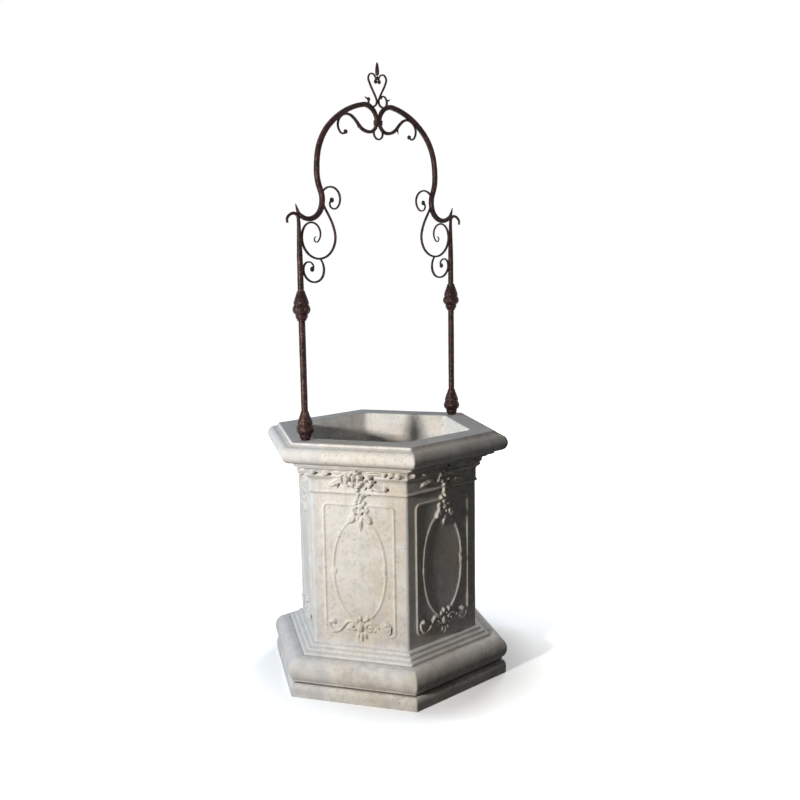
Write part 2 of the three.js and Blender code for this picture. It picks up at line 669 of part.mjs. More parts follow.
// A small scroll on the shoulder of the arch, with one pointed leaf
function crownLeaf(side) {
  const points = leafPoints();
  const root = points[Math.round(points.length * LEAF_TIP_SHARE)];
  const angle = THREE.MathUtils.degToRad(LEAF_TIP_HEADING);
  const reach = new THREE.Vector2(Math.cos(angle), Math.sin(angle)).multiplyScalar(LEAF_LENGTH);
  const tip = root.clone().add(reach);
  const leaf = mirrored([root, root.clone().lerp(tip, LEAF_TIP_SHARE), tip], side);
  const stem = solidOf(forgedBar(mirrored(points, side), HEART_WIDTH, HEART_DEPTH, LEAF_TAPER_SHARES));
  const spur = solidOf(forgedBar(leaf, HEART_WIDTH, HEART_DEPTH, LEAF_TIP_TAPER_SHARES));
  const eye = scrollEye(mirrored(points, side).at(-1), SMALL_EYE_RADIUS, HEART_DEPTH);
  const cutters = [archSolid(side, FIT_GAP), heartSolid(side, FIT_GAP)];
  return geometryOf(cutters.reduce((left, seat) => left.subtract(seat), stem.add(spur).add(eye)));
}

function boxSolid(width, depth, height, centreZ) {
  const box = new THREE.BoxGeometry(width, depth, height);
  box.translate(0, 0, centreZ);
  return solidOf(box);
}

// A band wrapped round the two arch bars where they meet the crown scrolls
function crownCollar() {
  const centreZ = archPoints().at(-1).y;
  const slab = boxSolid(2 * (ARCH_WIDTH + CROWN_WIDTH), 2 * ARCH_DEPTH, COLLAR_HEIGHT, centreZ);
  const bars = archSolid(1).add(crownSolid(1)).intersect(slab);
  const [reach, depth] = bars.boundingBox().max.map((furthest) => furthest + FIT_GAP);
  const band = boxSolid(2 * (reach + COLLAR_WALL), 2 * (depth + COLLAR_WALL), COLLAR_HEIGHT, centreZ);
  const hole = boxSolid(2 * reach, 2 * depth, COLLAR_HEIGHT + 2 * CUT_OVERRUN, centreZ);
  return geometryOf(band.subtract(hole));
}

// A loop hung between the two crown scrolls
function hangingLoop() {
  const shoulder = arcRun(ironPoint(LOOP_START_SHARES), LOOP_HEADING, LOOP_ARC_SHARES);
  const heading = headingAfter(LOOP_HEADING, LOOP_ARC_SHARES);
  const widest = shoulder.at(-1);
  const half = [...shoulder, ...arcRun(widest, heading, [[-90, widest.x / HALF_SPAN]]).slice(1)];
  const points = [...half, ...mirrored(half, -1).reverse().slice(1)];
  const loop = solidOf(forgedBar(points, RING_WIDTH, HEART_DEPTH, FULL_SHARES));
  return geometryOf(loop.subtract(crownSolid(1, FIT_GAP)).subtract(crownSolid(-1, FIT_GAP)));
}

// The spear stands between the two lobes of the heart.
function spearFinial() {
  const heart = heartPoints();
  const foot = heart[0].y + SMALL_EYE_RADIUS + FIT_GAP;
  const lobeTop = Math.max(...heart.map((point) => point.y));
  const inner = heart.filter((point) => point.y > foot);
  const throat = Math.min(...inner.map((point) => point.x));
  const neck = throat - HEART_WIDTH / 2 - FIT_GAP;
  const blade = SPEAR_OUTLINE_SHARES.map(([radiusShare, heightShare]) => (
    [SPEAR_RADIUS * radiusShare, lobeTop + SPEAR_HEIGHT * heightShare]
  ));
  return turned([[0, foot], [neck, foot], [neck, lobeTop - HEART_WIDTH], ...blade], ROUND_STEPS);
}

const overthrow = new THREE.Group();

function addPiece(parent, name, geometry, material) {
  const piece = new THREE.Mesh(geometry, material);
  piece.name = name;
  parent.add(piece);
}

const group = new THREE.Group();
addPiece(group, 'base_plinth', basePlinth(), WORN_STONE);
addPiece(group, 'well_body', wellBody(), PALE_STONE);
addPiece(group, 'coping_ring', copingRing(), RIM_STONE);
for (const [sideName, side] of [['left', -1], ['right', 1]]) {
  addPiece(overthrow, `${sideName}_foot_knuckle`, footKnuckle(side), CAST_IRON);
  addPiece(overthrow, `${sideName}_lower_post`, lowerPost(side), FORGED_IRON);
  addPiece(overthrow, `${sideName}_mid_knuckle`, midKnuckle(side), CAST_IRON);
  addPiece(overthrow, `${sideName}_upper_post`, upperPost(side), FORGED_IRON);
  addPiece(overthrow, `${sideName}_arch_bar`, archBar(side), FORGED_IRON);
  addPiece(overthrow, `${sideName}_crown_scroll`, crownScroll(side), FORGED_IRON);
  addPiece(overthrow, `${sideName}_side_scroll`, sideScroll(side), FORGED_IRON);
  addPiece(overthrow, `${sideName}_lower_scroll`, lowerScroll(side), FORGED_IRON);
  addPiece(overthrow, `${sideName}_heart_half`, heartHalf(side), FORGED_IRON);
  addPiece(overthrow, `${sideName}_crown_leaf`, crownLeaf(side), FORGED_IRON);
}
addPiece(overthrow, 'crown_collar', crownCollar(), FORGED_IRON);
addPiece(overthrow, 'hanging_loop', hangingLoop(), FORGED_IRON);
addPiece(overthrow, 'spear_finial', spearFinial(), CAST_IRON);
group.add(overthrow);

export default group;
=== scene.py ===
"""The look of a hexagonal cast-stone wishing well planter under a wrought-iron arch.

The stone sides are carved with a height map that is laid over the moulded profile of each side.
The iron is drawn as runs of arcs, and every bar is forged along its run by one recipe of geometry nodes.
Sizes are in millimetres, and become metres when a mesh is made. Places in a finish are in metres.
The frame is the CAD's: +Z up, ground at 0.
"""

import logging
import math
from dataclasses import dataclass, field
from enum import Enum
from typing import Any

import bmesh
import bpy
import numpy as np
from mathutils import Matrix, Vector

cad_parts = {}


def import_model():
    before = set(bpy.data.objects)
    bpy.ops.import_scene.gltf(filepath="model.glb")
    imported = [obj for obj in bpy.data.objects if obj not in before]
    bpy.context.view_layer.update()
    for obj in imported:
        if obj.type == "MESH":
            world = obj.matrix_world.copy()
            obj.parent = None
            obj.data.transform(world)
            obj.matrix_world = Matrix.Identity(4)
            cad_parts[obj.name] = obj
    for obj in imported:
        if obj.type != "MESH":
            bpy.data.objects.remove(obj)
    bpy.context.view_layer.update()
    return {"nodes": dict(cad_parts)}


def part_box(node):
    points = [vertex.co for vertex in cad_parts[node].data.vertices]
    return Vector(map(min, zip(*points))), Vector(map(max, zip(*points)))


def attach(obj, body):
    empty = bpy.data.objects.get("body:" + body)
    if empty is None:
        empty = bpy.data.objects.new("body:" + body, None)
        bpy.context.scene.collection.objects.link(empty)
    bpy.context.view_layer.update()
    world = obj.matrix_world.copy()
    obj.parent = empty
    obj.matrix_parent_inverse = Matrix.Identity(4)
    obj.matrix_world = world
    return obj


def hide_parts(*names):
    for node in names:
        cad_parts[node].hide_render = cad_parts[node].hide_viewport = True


LOG = logging.getLogger("wishing_well")
MM = 0.001
SIDES = 6
SIDE_ANGLE = math.tau / SIDES
TAN_HALF_SIDE = math.tan(SIDE_ANGLE / 2)
# The two halves of the ironwork, and the sign of x there
SIDE_WORDS = {"left": -1, "right": 1}
# How far each post stands from the well's axis, in millimetres
HALF_SPAN = 345.49
# Lower than any place, in metres, for an axis along which nothing is held back
NO_FLOOR = -100.0
ROOT = "root"

Pair = tuple[float, float]
Triple = tuple[float, float, float]
Colour = Triple


def add_object(name: str, data: Any) -> bpy.types.Object:
    """Adds an object to the scene.

    Args:
        name: its name.
        data: its mesh, light or camera.

    Returns:
        The object.
    """
    made = bpy.data.objects.new(name, data)
    bpy.context.scene.collection.objects.link(made)
    return made


# Nodes


class Link:
    """A node's output that can be used in Python arithmetic."""

    def __init__(self, recipe: "NodeTree", socket: bpy.types.NodeSocket) -> None:
        """Wraps an output socket of a recipe's tree."""
        self.recipe = recipe
        self.socket = socket

    def _math(self, operation: str, first: Any, second: Any) -> "Link":
        """Adds one Math node, with two values or links."""
        return self.recipe.node("ShaderNodeMath", {"operation": operation}, {0: first, 1: second})

    def __add__(self, other: Any) -> "Link":
        """Adds."""
        return self._math("ADD", self, other)

    __radd__ = __add__

    def __rsub__(self, other: Any) -> "Link":
        """Subtracts from a number."""
        return self._math("SUBTRACT", other, self)

    def __mul__(self, other: Any) -> "Link":
        """Multiplies."""
        return self._math("MULTIPLY", self, other)

    __rmul__ = __mul__

    def between(self, low: float, high: float) -> "Link":
        """Gives 0 at the low value and 1 at the high one, smoothly and clamped."""
        settings = {"interpolation_type": "SMOOTHSTEP"}
        return self.recipe.node("ShaderNodeMapRange", settings, {0: self, 1: low, 2: high})

    def band(self, rising: Pair, falling: Pair) -> "Link":
        """Gives 1 in a band that rises between two values and falls between two more."""
        return self.between(*rising) * (1 - self.between(*falling))


class NodeTree:
    """Adds nodes to one tree, of a shader or of geometry."""

    def __init__(self, tree: bpy.types.NodeTree) -> None:
        """Takes over an existing tree."""
        self.tree = tree

    def node(self, kind: str, settings: dict[str, Any], values: dict[Any, Any], out: Any = 0) -> Link:
        """Adds a node of any kind.

        Args:
            kind: the node's type.
            settings: properties that are set first.
            values: input sockets, by index or name, with their values or links.
            out: the output that is wanted, by index or name.

        Returns:
            The wanted output.
        """
        made = self.tree.nodes.new(kind)
        for key, value in settings.items():
            setattr(made, key, value)
        for key, value in values.items():
            self.fill(made.inputs[key], value)
        return Link(self, made.outputs[out])

    def fill(self, socket: bpy.types.NodeSocket, value: Any) -> None:
        """Gives an input its value, or links it where the value is a link."""
        if isinstance(value, Link):
            self.tree.links.new(value.socket, socket)
        else:
            socket.default_value = value

    def vector(self, operation: str, *values: Any, out: Any = 0) -> Link:
        """Adds one Vector Math node, with its vectors or links in order, and gives the wanted output."""
        return self.node("ShaderNodeVectorMath", {"operation": operation}, dict(enumerate(values)), out)


class ShaderTree(NodeTree):
    """Adds nodes to one shader tree."""

    def mix(self, share: Any, first: Any, second: Any) -> Link:
        """Mixes two colours or links by the share of the second."""
        ends = [(*c, 1.0) if isinstance(c, tuple) else c for c in (first, second)]
        return self.node("ShaderNodeMix", {"data_type": "RGBA"}, {0: share, 6: ends[0], 7: ends[1]}, 2)

    def seen(self) -> Link:
        """Tells what the camera sees from what lights the object.

        Returns:
            1 for what is seen, also in gloss or glass, and 0 for light that falls on the object.
        """
        kinds = ("Is Camera Ray", "Is Glossy Ray", "Is Transmission Ray")
        rays = [self.node("ShaderNodeLightPath", {}, {}, kind) for kind in kinds]
        return (rays[0] + rays[1] + rays[2]).between(0.0, 1.0)


class ShaderRecipe(ShaderTree):
    """Builds one procedural material round a Principled shader."""

    def __init__(self, name: str) -> None:
        """Starts an empty material.

        Args:
            name: the material's name.
        """
        self.material = bpy.data.materials.new(name)
        self.material.use_nodes = True
        super().__init__(self.material.node_tree)
        self.tree.nodes.clear()
        self.surface = self.tree.nodes.new("ShaderNodeBsdfPrincipled")
        output = self.tree.nodes.new("ShaderNodeOutputMaterial")
        self.tree.links.new(self.surface.outputs[0], output.inputs[0])
        self.place = self.node("ShaderNodeTexCoord", {}, {}, "Object")

    def noise(self, scale: float, detail: float, rough: float, stretch: Triple | None = None) -> Link:
        """Adds a noise pattern in the object's own place.

        Args:
            scale: how many features there are to a metre.
            detail: how many finer layers it has.
            rough: how strong those layers are.
            stretch: the share of the scale along each axis, where it isn't the same.

        Returns:
            The noise, from 0 to 1.
        """
        place = self.place
        if stretch:
            place = self.node("ShaderNodeMapping", {}, {0: place, 3: stretch})
        values = {"Vector": place, "Scale": scale, "Detail": detail, "Roughness": rough}
        return self.node("ShaderNodeTexNoise", {}, values)

    def attribute(self, name: str) -> Link:
        """Reads a number that the mesh carries under this name."""
        return self.node("ShaderNodeAttribute", {"attribute_name": name}, {}, "Fac")

    def feed(self, socket: str, value: Any) -> None:
        """Feeds an input of the Principled shader, by its name."""
        self.fill(self.surface.inputs[socket], value)

    def bump(self, height: Link, depth: float) -> None:
        """Gives the surface a fine relief from a height of 0 to 1, with its depth in millimetres."""
        values = {"Height": height, "Distance": depth * MM, "Strength": 1.0}
        self.feed("Normal", self.node("ShaderNodeBump", {}, values))


@dataclass(frozen=True)
class CastStone:
    """The finish of a stone casting: cream and blue-grey in patches, stained, pitted, and darker in its
    hollows, partly grime and partly painted shade.

    A pair of heights or reaches, in metres, says where a mark comes in at its foot or fades out at its head.
    """

    name: str
    warm: Colour = (0.66, 0.59, 0.49)
    pale: Colour = (0.75, 0.72, 0.665)
    cool: Colour = (0.50, 0.515, 0.54)
    # pale patches, and also a painted highlight on arrises and proud carving
    bleached_and_highlight: Colour = (0.80, 0.82, 0.85)
    stain: Colour = (0.40, 0.33, 0.255)
    # grime, and also painted shade in the hollows and under the coping
    grime_and_shade: Colour = (0.085, 0.07, 0.062)
    dust: Colour = (0.46, 0.445, 0.43)
    mud: Colour = (0.40, 0.36, 0.325)
    cool_share: float = 0.5
    stain_share: float = 0.4
    pit_share: float = 0.75
    splash_heights: Pair = (0.17, 0.36)
    frost_foot: Pair = (0.10, 0.135)
    frost_head: Pair = (0.167, 0.186)
    # A band of painted shadow under the coping's roll, on the outer faces only: where it starts, where it
    # ends, and its reach from the axis
    eaves_shade_foot: Pair = (0.772, 0.788)
    eaves_shade_head: Pair = (0.80, 0.822)
    eaves_shade_reach: Pair = (0.312, 0.32)
    # The outer face on this side is painted a cool blue-grey tint, standing in for cool light falling on it
    cool_lit_side: Triple = (-0.866, 0.5, 0.0)
    cool_lit_reach: Pair = (0.25, 0.285)
    dust_heights: Pair = (0.8635, 0.865)
    drip_stretch: Triple = (1.0, 1.0, 0.22)
    shine: float = 0.3
    relief: float = 1.2

    def material(self) -> bpy.types.Material:
        """Builds the material."""
        recipe = ShaderRecipe(self.name)
        broad = recipe.noise(5.5, 5.0, 0.62)
        cloud = recipe.noise(23.0, 6.0, 0.66)
        mottle = recipe.noise(75.0, 5.0, 0.7)
        grain = recipe.noise(430.0, 4.0, 0.7)
        drips = recipe.noise(30.0, 5.0, 0.62, self.drip_stretch)
        cells = {"Vector": recipe.place, "Scale": 120.0, "Randomness": 1.0}
        pores = recipe.node("ShaderNodeTexVoronoi", {}, cells)
        pits = (1 - pores.between(0.06, 0.24)) * recipe.noise(27.0, 4.0, 0.7).between(0.5, 0.62)
        hollow = recipe.attribute("hollow")
        colour = recipe.mix(broad.between(0.38, 0.62), self.warm, self.pale)
        colour = recipe.mix(cloud.between(0.44, 0.74) * self.cool_share, colour, self.cool)
        colour = recipe.mix(mottle.between(0.5, 0.72) * 0.45, colour, self.bleached_and_highlight)
        colour = recipe.mix((1 - mottle.between(0.3, 0.47)) * 0.5, colour, self.stain)
        colour = recipe.mix(drips.between(0.56, 0.74) * self.stain_share, colour, self.stain)
        colour = self.marked(recipe, colour, cloud, mottle, hollow)
        # Darker in crevices, moulding corners and drilled eyes: partly grime, partly painted shade where
        # shadow falls
        colour = recipe.mix(hollow.between(0.02, 0.95) * (0.72 + mottle * 0.4), colour, self.grime_and_shade)
        colour = recipe.mix(grain.between(0.62, 0.8) * 0.35, colour, self.stain)
        colour = recipe.mix(pits * self.pit_share, colour, self.grime_and_shade)
        recipe.feed("Base Color", colour)
        recipe.feed("Roughness", 0.8 + cloud * 0.18)
        recipe.feed("Specular IOR Level", self.shine)
        recipe.bump(grain * 0.3 + mottle * 0.45 + (1 - pits) * 0.8, self.relief)
        return recipe.material

    def marked(self, recipe: ShaderRecipe, colour: Link, cloud: Link, mottle: Link, hollow: Link) -> Link:
        """Lays marks at certain places: mud and frost low down and dust on the top, and painted light: shade
        under the coping, a cool tint on one side, and highlights on the arrises.

        Args:
            recipe: the material's recipe.
            colour: the clean stone's colour.
            cloud: a noise with features of some 40 mm.
            mottle: a noise with features of some 13 mm.
            hollow: how hollow the surface is, below 0 on its arrises.

        Returns:
            The marked colour.
        """
        height = recipe.node("ShaderNodeSeparateXYZ", {}, {0: recipe.place}, 2)
        reach = recipe.vector("LENGTH", recipe.vector("MULTIPLY", recipe.place, (1, 1, 0)), out="Value")
        cool_lit = recipe.vector("DOT_PRODUCT", recipe.place, self.cool_lit_side, out="Value")
        mud = (1 - height.between(*self.splash_heights)) * (0.17 + 0.3 * cloud.between(0.4, 0.62))
        frost = height.band(self.frost_foot, self.frost_head) * (0.05 + 0.4 * mottle)
        # Painted highlight on arrises and on proud carving
        arrises = hollow.between(-0.1, -0.8) * 0.5
        # Painted shadow under the coping's roll
        eaves_shade = height.band(self.eaves_shade_foot, self.eaves_shade_head) * reach.between(*self.eaves_shade_reach)
        # Painted cool light on one outer face
        shade = cool_lit.between(*self.cool_lit_reach) * (0.25 + 0.3 * cloud)
        dust = height.between(*self.dust_heights) * (0.25 + 0.5 * cloud)
        for share, tone in (
            (mud, self.mud),
            (frost, self.bleached_and_highlight),
            (arrises, self.bleached_and_highlight),
            (eaves_shade * (0.28 + 0.2 * cloud), self.grime_and_shade),
            (shade, self.cool),
            (dust, self.dust),
        ):
            colour = recipe.mix(share, colour, tone)
        return colour


@dataclass(frozen=True)
class PatinatedIron:
    """The finish of the ironwork: a dark red-brown patina, lighter in worn patches that also stand in as
    painted sheen.
    """

    name: str
    deep: Colour = (0.012, 0.0045, 0.004)
    brown: Colour = (0.046, 0.017, 0.014)
    rust: Colour = (0.10, 0.035, 0.025)
    # worn metal, and also painted sheen standing in for highlights
    rubbed_and_sheen: Colour = (0.20, 0.155, 0.145)
    rough: float = 0.34
    dent: float = 0.4
    metal: float = 0.3
    shine: float = 0.2

    def material(self) -> bpy.types.Material:
        """Builds the material."""
        recipe = ShaderRecipe(self.name)
        broad = recipe.noise(38.0, 4.0, 0.6)
        speck = recipe.noise(310.0, 5.0, 0.65)
        hammer = recipe.noise(120.0, 2.0, 0.45)
        hollow = recipe.attribute("hollow")
        colour = recipe.mix(broad.between(0.36, 0.64), self.deep, self.brown)
        colour = recipe.mix(speck.between(0.56, 0.76) * 0.55, colour, self.rust)
        # Lighter patches: partly worn metal, partly painted sheen
        colour = recipe.mix(hammer.between(0.5, 0.74) * 0.35, colour, self.rubbed_and_sheen)
        colour = recipe.mix(hollow.between(0.05, 0.9) * 0.7, colour, self.deep)
        recipe.feed("Base Color", colour)
        recipe.feed("Metallic", self.metal)
        recipe.feed("Specular IOR Level", self.shine)
        recipe.feed("Roughness", self.rough + speck * 0.24 + hollow.between(0.0, 0.8) * 0.2)
        recipe.bump(hammer * 0.7 + speck * 0.3, self.dent)
        return recipe.material


class Finish(Enum):
    """The record's material slots."""

    BASE = "base_stone"
    BODY = "body_stone"
    RIM = "rim_stone"
    FORGED = "forged_iron"
    CAST = "cast_iron"


def build_finishes() -> dict[Finish, bpy.types.Material]:
    """Builds the materials, one for each slot."""
    finishes = {
        Finish.BASE: CastStone("cast_stone_base", cool_share=0.55, stain_share=0.5),
        Finish.BODY: CastStone("cast_stone_body"),
        Finish.RIM: CastStone(
            "cast_stone_rim", warm=(0.79, 0.73, 0.64), pale=(0.87, 0.845, 0.80), stain_share=0.3
        ),
        Finish.FORGED: PatinatedIron("forged_bar_iron"),
        Finish.CAST: PatinatedIron("cast_knuckle_iron", rough=0.36, dent=0.6),
    }
    return {slot: finish.material() for slot, finish in finishes.items()}


# Geometry nodes


class GeometryRecipe(NodeTree):
    """Builds a tree of geometry nodes, and turns its result into a plain mesh."""

    def __init__(self, name: str) -> None:
        """Starts a tree with a Geometry input and output.

        Args:
            name: the tree's name.
        """
        super().__init__(bpy.data.node_groups.new(name, "GeometryNodeTree"))
        for way in ("INPUT", "OUTPUT"):
            self.tree.interface.new_socket("Geometry", in_out=way, socket_type="NodeSocketGeometry")
        self.inputs = self.tree.nodes.new("NodeGroupInput")
        self.output = self.tree.nodes.new("NodeGroupOutput")

    def given(self) -> Link:
        """Gives the geometry that the tree starts from."""
        return Link(self, self.inputs.outputs[0])

    def ask(self, name: str, kind: str) -> Link:
        """Adds a named input, whose kind is the end of its socket type, such as "Float"."""
        self.tree.interface.new_socket(name, in_out="INPUT", socket_type=f"NodeSocket{kind}")
        return Link(self, self.inputs.outputs[name])

    def unevenness(self, scale: Any, detail: float, amount: Link) -> Link:
        """Gives offsets that vary smoothly over a surface.

        Args:
            scale: how many features there are to a metre.
            detail: how many finer layers they have.
            amount: twice the largest offset along an axis, in metres.

        Returns:
            The offsets.
        """
        noise = self.node("ShaderNodeTexNoise", {}, {"Scale": scale, "Detail": detail}, "Color")
        centred = self.vector("SUBTRACT", noise, (0.5, 0.5, 0.5))
        return self.node("ShaderNodeVectorMath", {"operation": "SCALE"}, {0: centred, "Scale": amount})

    def end(self, geometry: Link) -> None:
        """Realizes, gives the finish and closes the tree.

        Args:
            geometry: what was made.
        """
        finish = self.ask("Finish", "Material")
        whole = self.node("GeometryNodeRealizeInstances", {}, {0: geometry})
        dressed = self.node("GeometryNodeSetMaterial", {}, {"Geometry": whole, "Material": finish})
        self.fill(self.output.inputs[0], dressed)

    def make(self, mesh: bpy.types.Mesh, name: str, values: dict[str, Any]) -> bpy.types.Object:
        """Runs the tree on a mesh.

        Args:
            mesh: the mesh it starts from.
            name: the finished piece's name.
            values: the named inputs.

        Returns:
            An object at the origin with a plain mesh.
        """
        start = add_object(f"{name}_start", mesh)
        modifier = start.modifiers.new("recipe", "NODES")
        modifier.node_group = self.tree
        for item in self.tree.interface.items_tree:
            if item.item_type == "SOCKET" and item.in_out == "INPUT" and item.name in values:
                modifier[item.identifier] = values[item.name]
        graph = bpy.context.evaluated_depsgraph_get()
        made = bpy.data.meshes.new_from_object(start.evaluated_get(graph), depsgraph=graph)
        start.modifiers.remove(modifier)
        bpy.data.objects.remove(start)
        made.name = name
        return add_object(name, made)


def weathered_recipe() -> GeometryRecipe:
    """Builds the recipe that turns a casting to its side and wears its surface a little.

    Returns:
        A recipe with the inputs Turn, Wear and Wear Size.
    """
    recipe = GeometryRecipe("weathered casting")
    turn = recipe.ask("Turn", "Rotation")
    wear, size = recipe.ask("Wear", "Float"), recipe.ask("Wear Size", "Float")
    turned = recipe.node("GeometryNodeTransform", {}, {"Geometry": recipe.given(), "Rotation": turn})
    here = recipe.node("GeometryNodeInputPosition", {}, {})
    moved = recipe.vector("ADD", here, recipe.unevenness(size, 3.0, wear))
    grounded = recipe.vector("MAXIMUM", moved, (NO_FLOOR, NO_FLOOR, 0.0))
    recipe.end(recipe.node("GeometryNodeSetPosition", {}, {"Geometry": turned, "Position": grounded}))
    return recipe


def bar_recipe() -> GeometryRecipe:
    """Builds the recipe that forges a bar along a run of edges.

    Returns:
        A recipe with the inputs Width, Depth, Corner, Eye, Eye Place, Eye Shape and Hammering.
    """
    recipe = GeometryRecipe("forged bar")
    width, depth, corner, eye, hammering = (
        recipe.ask(name, "Float") for name in ("Width", "Depth", "Corner", "Eye", "Hammering")
    )
    eye_place, eye_shape = recipe.ask("Eye Place", "Vector"), recipe.ask("Eye Shape", "Vector")
    girth = recipe.node("GeometryNodeInputNamedAttribute", {"data_type": "FLOAT"}, {"Name": "girth"})
    line = recipe.node("GeometryNodeMeshToCurve", {}, {0: recipe.given()})
    section = recipe.node("GeometryNodeCurvePrimitiveQuadrilateral", {}, {"Width": depth, "Height": width})
    rounding = {"Curve": section, "Count": 3, "Radius": corner, "Limit Radius": True}
    section = recipe.node("GeometryNodeFilletCurve", {"mode": "POLY"}, rounding)
    along = {"Curve": line, "Profile Curve": section, "Scale": girth, "Fill Caps": True}
    bar = recipe.node("GeometryNodeCurveToMesh", {}, along)
    hammered = {"Geometry": bar, "Offset": recipe.unevenness(45.0, 1.0, hammering)}
    bar = recipe.node("GeometryNodeSetPosition", {}, hammered)
    ball = recipe.node("GeometryNodeMeshUVSphere", {}, {"Segments": 20, "Rings": 12, "Radius": eye})
    placing = {"Geometry": ball, "Translation": eye_place, "Scale": eye_shape}
    ball = recipe.node("GeometryNodeTransform", {}, placing)
    joined = recipe.node("GeometryNodeJoinGeometry", {}, {0: bar})
    recipe.fill(joined.socket.node.inputs[0], ball)
    recipe.end(recipe.node("GeometryNodeSetShadeSmooth", {}, {"Geometry": joined, "Shade Smooth": True}))
    return recipe


# Pieces


class Workshop:
    """What every sub-assembly shares: the finishes, the recipes, and how a piece is made and handed over."""

    def __init__(self) -> None:
        """Builds the finishes and the recipes."""
        self.finishes = build_finishes()
        self.weathered = weathered_recipe()
        self.bars = bar_recipe()

    def hand_over(
        self,
        recipe: GeometryRecipe,
        start: bpy.types.Mesh,
        name: str,
        values: dict[str, Any],
        finish: Finish,
        node: str,
    ) -> None:
        """Makes a piece, and lets it ride on the body in place of a CAD node.

        Args:
            recipe: the recipe that makes it.
            start: the mesh that the recipe starts from.
            name: the piece's name.
            values: the recipe's named inputs, apart from the finish.
            finish: the slot it takes its finish from.
            node: the CAD node that it stands for.
        """
        piece = recipe.make(start, name, {**values, "Finish": self.finishes[finish]})
        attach(piece, ROOT)
        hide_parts(node)
        LOG.info("%s: %d faces", piece.name, len(piece.data.polygons))

    def cast(
        self, start: bpy.types.Mesh, name: str, wear: Pair, finish: Finish, node: str, turn: float = 0.0
    ) -> None:
        """Makes a casting, with its surface worn.

        Args:
            start: its mesh.
            name: its name.
            wear: how deep the wear is in millimetres, and how many features it has to a metre.
            finish: the slot it takes its finish from.
            node: the CAD node that it stands for.
            turn: its turn about the well's axis, in radians.
        """
        values = {"Turn": (0.0, 0.0, turn), "Wear": wear[0] * MM, "Wear Size": wear[1]}
        self.hand_over(self.weathered, start, name, values, finish, node)


def softened(
    corners: list[Triple], steps: int = 4, least: float = 0.05, most: float = 0.45
) -> list[Pair]:
    """Rounds the corners of a moulding's outline.

    Args:
        corners: (face, height, size of the rounding) for each corner.
        steps: how many edges a rounded corner has.
        least: the smallest rounding that is made.
        most: the largest share of an edge that a rounding takes up.

    Returns:
        The outline's points.
    """
    points: list[Pair] = []
    count = len(corners)
    for place, (x, z, size) in enumerate(corners):
        before, after = corners[place - 1], corners[(place + 1) % count]
        here = Vector((x, z))
        back, on = Vector(before[:2]) - here, Vector(after[:2]) - here
        room = min(size, back.length * most, on.length * most)
        if room < least or place in (0, count - 1):
            points.append((x, z))
            continue
        start, end = here + back.normalized() * room, here + on.normalized() * room
        for step in range(steps + 1):
            share = step / steps
            point = start * (1 - share) ** 2 + here * 2 * share * (1 - share) + end * share**2
            points.append((point.x, point.y))
    return points


def spread(points: list[Pair], longest: float, fine: tuple[Pair, ...] = (), short: float = 2.0) -> list[Pair]:
    """Divides long edges of an outline.

    Args:
        points: the outline.
        longest: the longest edge that is left.
        fine: (low, high) heights between which edges are shorter.
        short: the longest edge there.

    Returns:
        The outline with more points.
    """
    made = [points[0]]
    for before, after in zip(points, points[1:]):
        travelled, length = 0.0, math.dist(before, after)
        while length - travelled > 1e-6:
            height = before[1] + (after[1] - before[1]) * travelled / length
            gap = short if any(low <= height < high for low, high in fine) else longest
            travelled = length if length - travelled < gap * 1.5 else travelled + gap
            share = travelled / length
            made.append(tuple(a + (b - a) * share for a, b in zip(before, after)))
    return made


def bow(middle: Pair, half: Pair, start: float, end: float, steps: int) -> list[Pair]:
    """Gives points along a part of an ellipse.

    Args:
        middle: its middle.
        half: its half width and half height.
        start: the angle in degrees of the first point.
        end: the angle in degrees of the last point.
        steps: how many edges there are between them.

    Returns:
        The points.
    """
    points = []
    for step in range(steps + 1):
        angle = math.radians(start + (end - start) * step / steps)
        points.append((middle[0] + half[0] * math.cos(angle), middle[1] + half[1] * math.sin(angle)))
    return points


def roll(middle: Pair, half: Pair, start: float, rounded: tuple[int, ...], steps: int = 14) -> list[Triple]:
    """Gives a fat roll's corners up to its top, rounded where it meets a flat."""
    line = enumerate(bow(middle, half, start, 90, steps))
    return [(x, z, 3.0 if step in rounded else 0.0) for step, (x, z) in line]


def corner_depth(points: list[Pair], reach: float = 7.0, full: float = 2.4, arris: float = 0.4) -> np.ndarray:
    """Tells how hollow a closed outline is: above 0 in its corners, below 0 on its arrises.

    Args:
        points: the outline, anticlockwise.
        reach: how far a corner's darkening spreads, in millimetres.
        full: the turn in radians at which a corner counts as 1.
        arris: how much an arris counts beside a corner.

    Returns:
        A number for each point: up to 1 in a square corner, and a little below 0 on an arris.
    """
    line = np.array(points)
    after = np.roll(line, -1, axis=0) - line
    before = np.roll(after, 1, axis=0)
    turn = np.arctan2(before[:, 0] * after[:, 1] - before[:, 1] * after[:, 0], (before * after).sum(axis=1))
    travelled = np.concatenate([[0.0], np.cumsum(np.hypot(*after.T))])
    gap = np.abs(travelled[:-1, None] - travelled[None, :-1])
    gap = np.minimum(gap, travelled[-1] - gap)
    depth = -(np.exp(-((gap / reach) ** 2)) @ turn) / full
    return np.where(depth < 0, arris * depth, depth)


class Column(Enum):
    """The kinds of column across a side: through the carving, beside it, and round the corner."""

    CARVED = "carved"
    PLAIN = "plain"
    CORNER = "corner"


